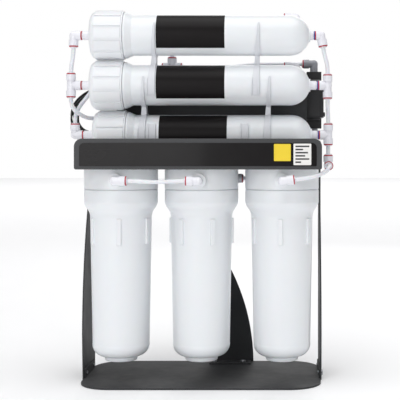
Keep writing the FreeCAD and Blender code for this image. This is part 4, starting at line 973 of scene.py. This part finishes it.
@dataclass
class Controls(SubAssembly):
    """Control box and the wires that run from it round to the pump."""

    title: str = "controls"
    finishes: dict[str, Finish] = field(default_factory=lambda: {"controller_box": CONTROL_BOX})
    strands: int = 7
    strand_radius: float = 1.3 * MM
    bundle_radius: float = 3.0 * MM
    lay_turns: float = 1.3
    slack_middle: float = 0.62
    slack_reach: float = 0.16
    slack: float = 0.95
    wander: tuple[float, float, float] = (0.10, 9.0, 2.1)
    tied_shares: tuple[float, ...] = (0.10, 0.26, 0.42, 0.88)
    tie_width: float = 2.4 * MM
    tie_thick: float = 0.8 * MM
    tie_gap: float = 0.15 * MM
    tie_taper: float = 0.8
    tie_soft: float = 0.25 * MM
    tie_steps: int = 28
    tie_head: tuple[float, float, float] = (2.2 * MM, 4.0 * MM, 3.4 * MM)
    route: tuple[tuple[float, float, float], ...] = (
        (0.014, 0.091, 0.450), (-0.008, 0.091, 0.450), (-0.032, 0.080, 0.455),
        (-0.062, 0.070, 0.459), (-0.100, 0.066, 0.460), (-0.138, 0.064, 0.460),
        (-0.168, 0.057, 0.458), (-0.188, 0.046, 0.449), (-0.200, 0.037, 0.434),
        (-0.204, 0.033, 0.417), (-0.203, 0.033, 0.402), (-0.196, 0.039, 0.390),
        (-0.182, 0.051, 0.385), (-0.163, 0.064, 0.381), (-0.150, 0.072, 0.380),
        (-0.134, 0.072, 0.380))

    def build(self) -> list[bpy.types.Object]:
        """The wires, in place of the harness's plain solid, and the ties round them.

        Returns:
            The wires, then the ties.
        """
        line = self.centre_line()
        sides = self.sides_along(line)
        made = [self.strand(number, line, sides) for number in range(self.strands + 1)]
        for wire in made:
            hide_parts("wire_harness")
        return made + [self.tie(number, line, sides) for number in range(len(self.tied_shares))]

    def centre_line(self) -> list[Vector]:
        """The harness's centreline, as the smooth spline of its route gives it.

        Returns:
            Points along it.
        """
        data = self.spline("harness_line", [Vector(point) for point in self.route])
        guide = bpy.data.objects.new("harness_line", data)
        mesh = bpy.data.meshes.new_from_object(guide)
        line = [vertex.co.copy() for vertex in mesh.vertices]
        bpy.data.meshes.remove(mesh)
        bpy.data.objects.remove(guide)
        bpy.data.curves.remove(data)
        return line

    @staticmethod
    def spline(title: str, points: list[Vector]) -> bpy.types.Curve:
        """A smooth open curve.

        Args:
            title: the curve's name.
            points: its control points.

        Returns:
            The curve, with no thickness.
        """
        data = bpy.data.curves.new(title, "CURVE")
        data.dimensions = "3D"
        data.resolution_u = 6
        line = data.splines.new("NURBS")
        line.points.add(len(points) - 1)
        for place, point in zip(line.points, points):
            place.co = (*point, 1.0)
        line.order_u = 3
        line.use_endpoint_u = True
        return data

    @staticmethod
    def sides_along(line: list[Vector]) -> list[tuple[Vector, Vector, Vector]]:
        """The line's direction and two directions across it, carried along without twist.

        Args:
            line: points along the harness.

        Returns:
            For each point, three unit vectors square to each other, the first along the line.
        """
        sides = []
        across = Vector((0.0, 0.0, 1.0))
        for place in range(len(line)):
            after = line[min(place + 1, len(line) - 1)]
            before = line[max(place - 1, 0)]
            along = (after - before).normalized()
            across = (across - along * across.dot(along)).normalized()
            sides.append((along, across, along.cross(across)))
        return sides

    def spread(self, share: float) -> float:
        """How far the outer wires lie from the centreline.

        Args:
            share: how far along the harness, from 0 to 1.

        Returns:
            The distance, in metres.
        """
        bulge = math.exp(-(((share - self.slack_middle) / self.slack_reach) ** 2))
        return self.bundle_radius * (1.0 + self.slack * bulge)

    def strand(self, number: int, line: list[Vector],
               sides: list[tuple[Vector, Vector, Vector]]) -> bpy.types.Object:
        """One wire of the bundle: number 0 runs down its middle.

        Args:
            number: which wire.
            line: points along the harness.
            sides: the directions along and across it.

        Returns:
            The wire, a smooth curve.
        """
        depth, waves, offset = self.wander
        points = []
        for place, (point, (_, across, beside)) in enumerate(zip(line, sides)):
            share = place / (len(line) - 1)
            angle = 2 * math.pi * (number / self.strands + self.lay_turns * share)
            reach = self.spread(share) if number else 0.0
            sway = math.sin(waves * share + offset * number) * math.sin(math.pi * share)
            reach *= 1.0 + depth * sway
            points.append(point + (across * math.cos(angle) + beside * math.sin(angle)) * reach)
        data = self.spline(f"harness_wire_{number}", points)
        data.bevel_depth = self.strand_radius
        data.bevel_resolution = 3
        data.use_fill_caps = True
        data.resolution_u = 2
        data.materials.append(CABLE_SLEEVE.material())
        made = bpy.data.objects.new(data.name, data)
        bpy.context.scene.collection.objects.link(made)
        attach(made, "frame")
        return made

    def tie(self, number: int, line: list[Vector],
            sides: list[tuple[Vector, Vector, Vector]]) -> bpy.types.Object:
        """One cable tie: a strap round the wires, with its head.

        Args:
            number: which tie.
            line: points along the harness.
            sides: the directions along and across it.

        Returns:
            The tie.
        """
        share = self.tied_shares[number]
        place = round(share * (len(line) - 1))
        middle, (along, across, beside) = line[place], sides[place]
        inner = self.spread(share) + self.strand_radius + self.tie_gap
        outer = inner + self.tie_thick
        half = self.tie_width / 2
        lip = half * self.tie_taper
        section = ((inner, -half), (outer, -lip), (outer, lip), (inner, half))
        rings = []
        for step in range(self.tie_steps):
            angle = 2 * math.pi * step / self.tie_steps
            way = across * math.cos(angle) + beside * math.sin(angle)
            rings.append([middle + way * radius + along * shift for radius, shift in section])
        vertices, faces = Shell.sweep(rings)
        head = len(vertices)
        high, deep, wide = self.tie_head
        centre = middle + across * (outer + high / 2)
        corners = [(a, b, c) for a in (-0.5, 0.5) for b in (-0.5, 0.5) for c in (-0.5, 0.5)]
        vertices += [centre + across * a * high + beside * b * deep + along * c * wide
                     for a, b, c in corners]
        box = ((0, 1, 3, 2), (4, 6, 7, 5), (0, 4, 5, 1), (2, 3, 7, 6), (0, 2, 6, 4), (1, 5, 7, 3))
        faces += [tuple(head + corner for corner in face) for face in box]
        made = Shell.piece(f"cable_tie_{number + 1}", vertices, faces, TIE_NYLON, Slot.CABLE)
        soften = made.modifiers.new("rounded_edges", "BEVEL")
        soften.width = self.tie_soft
        soften.segments = 2
        soften.limit_method = "ANGLE"
        return made


@dataclass(frozen=True)
class Softbox:
    """A square lamp aimed at a spot, or at the unit's middle where it names none."""

    title: str
    place: tuple[float, float, float]
    size: float
    power: float
    aim: tuple[float, float, float] | None = None

    def hang(self, middle: Vector) -> None:
        """Hangs the lamp and aims it.

        Args:
            middle: the unit's middle.
        """
        data = bpy.data.lights.new(self.title, "AREA")
        data.shape = "SQUARE"
        data.size = self.size
        data.energy = self.power
        made = bpy.data.objects.new(self.title, data)
        made.location = self.place
        target = Vector(self.aim) if self.aim else middle
        made.rotation_euler = (target - Vector(self.place)).to_track_quat("-Z", "Y").to_euler()
        bpy.context.scene.collection.objects.link(made)


SOFTBOXES = (
    Softbox("key_softbox", (-0.8, -2.3, 0.9), 1.4, 15.5),
    Softbox("fill_softbox", (1.6, -1.9, 0.7), 1.2, 1.6),
    Softbox("rear_softbox", (0.5, 1.9, 1.2), 1.2, 5.0),
    Softbox("far_floor_softbox", (0.0, 7.5, 4.5), 6.0, 110.0, (0.0, 7.5, 0.0)))


@dataclass
class Studio:
    """Camera, soft lights, pale floor and the even light of a white room."""

    eye: Vector = field(default_factory=lambda: Vector((0.122, -1.661, 0.360)))
    lens: float = 96.1
    shift: tuple[float, float] = (-0.20, -0.125)
    clip: tuple[float, float] = (0.05, 30.0)
    floor_tone: Colour = tone(250, 250, 251)
    floor_reach: float = 12.0
    floor_gap: float = 0.2 * MM
    room_light: float = 0.20
    backdrop_light: float = 1.0
    ceiling_light: float = 2.35
    ceiling_angle: float = math.radians(70)
    ceiling_tilt: float = math.radians(12)

    def build(self) -> None:
        """Makes the whole studio."""
        self.camera()
        self.floor()
        self.room()
        for softbox in SOFTBOXES:
            softbox.hang((CAD_BOX[0] + CAD_BOX[1]) / 2)
        self.ceiling()

    def camera(self) -> None:
        """A camera that looks square at the front of the unit."""
        data = bpy.data.cameras.new("studio_camera")
        data.lens = self.lens
        data.shift_x, data.shift_y = self.shift
        data.clip_start, data.clip_end = self.clip
        made = bpy.data.objects.new("studio_camera", data)
        made.location = self.eye
        made.rotation_euler = (math.pi / 2, 0.0, 0.0)
        bpy.context.scene.collection.objects.link(made)
        bpy.context.scene.camera = made

    def floor(self) -> None:
        """A wide pale floor under the unit."""
        level = CAD_BOX[0].z - self.floor_gap
        corners = [(x * self.floor_reach, y * self.floor_reach, level)
                   for x, y in ((-1, -1), (1, -1), (1, 1), (-1, 1))]
        mesh = bpy.data.meshes.new("studio_floor")
        mesh.from_pydata(corners, [], [(0, 1, 2, 3)])
        made = bpy.data.objects.new("studio_floor", mesh)
        bpy.context.scene.collection.objects.link(made)
        finish = Finish("studio_floor_paint", self.floor_tone, self.floor_tone, 0.6, edge=0.0001,
                        relief=0.0, dust=0.0)
        mesh.materials.append(finish.material())

    def room(self) -> None:
        """Even white light from all round."""
        world = bpy.data.worlds.new("studio_room")
        bpy.context.scene.world = world
        world.use_nodes = True
        wiring = Wiring(world.node_tree)
        seen = wiring.add("LightPath").outputs["Is Camera Ray"]
        strength = wiring.add("MapRange")
        wiring.feed(strength, Value=seen, To_Min=self.room_light, To_Max=self.backdrop_light)
        wall = wiring.feed(wiring.add("Background"), Color=(1.0, 1.0, 1.0, 1.0),
                           Strength=strength.outputs[0])
        wiring.feed(wiring.add("OutputWorld"), Surface=wall.outputs[0])
        bpy.context.scene.view_settings.view_transform = "Standard"

    def ceiling(self) -> None:
        """Wide even light from above, a little from the front."""
        data = bpy.data.lights.new("ceiling_light", "SUN")
        data.energy = self.ceiling_light
        data.angle = self.ceiling_angle
        made = bpy.data.objects.new("ceiling_light", data)
        made.rotation_euler = (self.ceiling_tilt, 0.0, 0.0)
        bpy.context.scene.collection.objects.link(made)


def main() -> None:
    """Dresses and builds each sub-assembly, then the studio."""
    logging.basicConfig(level=logging.INFO, format="%(name)s: %(message)s")
    for part in (SheetMetalFrame(), PrefilterRow(), MembraneStack(), Plumbing(), BoosterPump(),
                 Controls()):
        part.make()
    Studio().build()


if __name__ == "__main__":
    main()
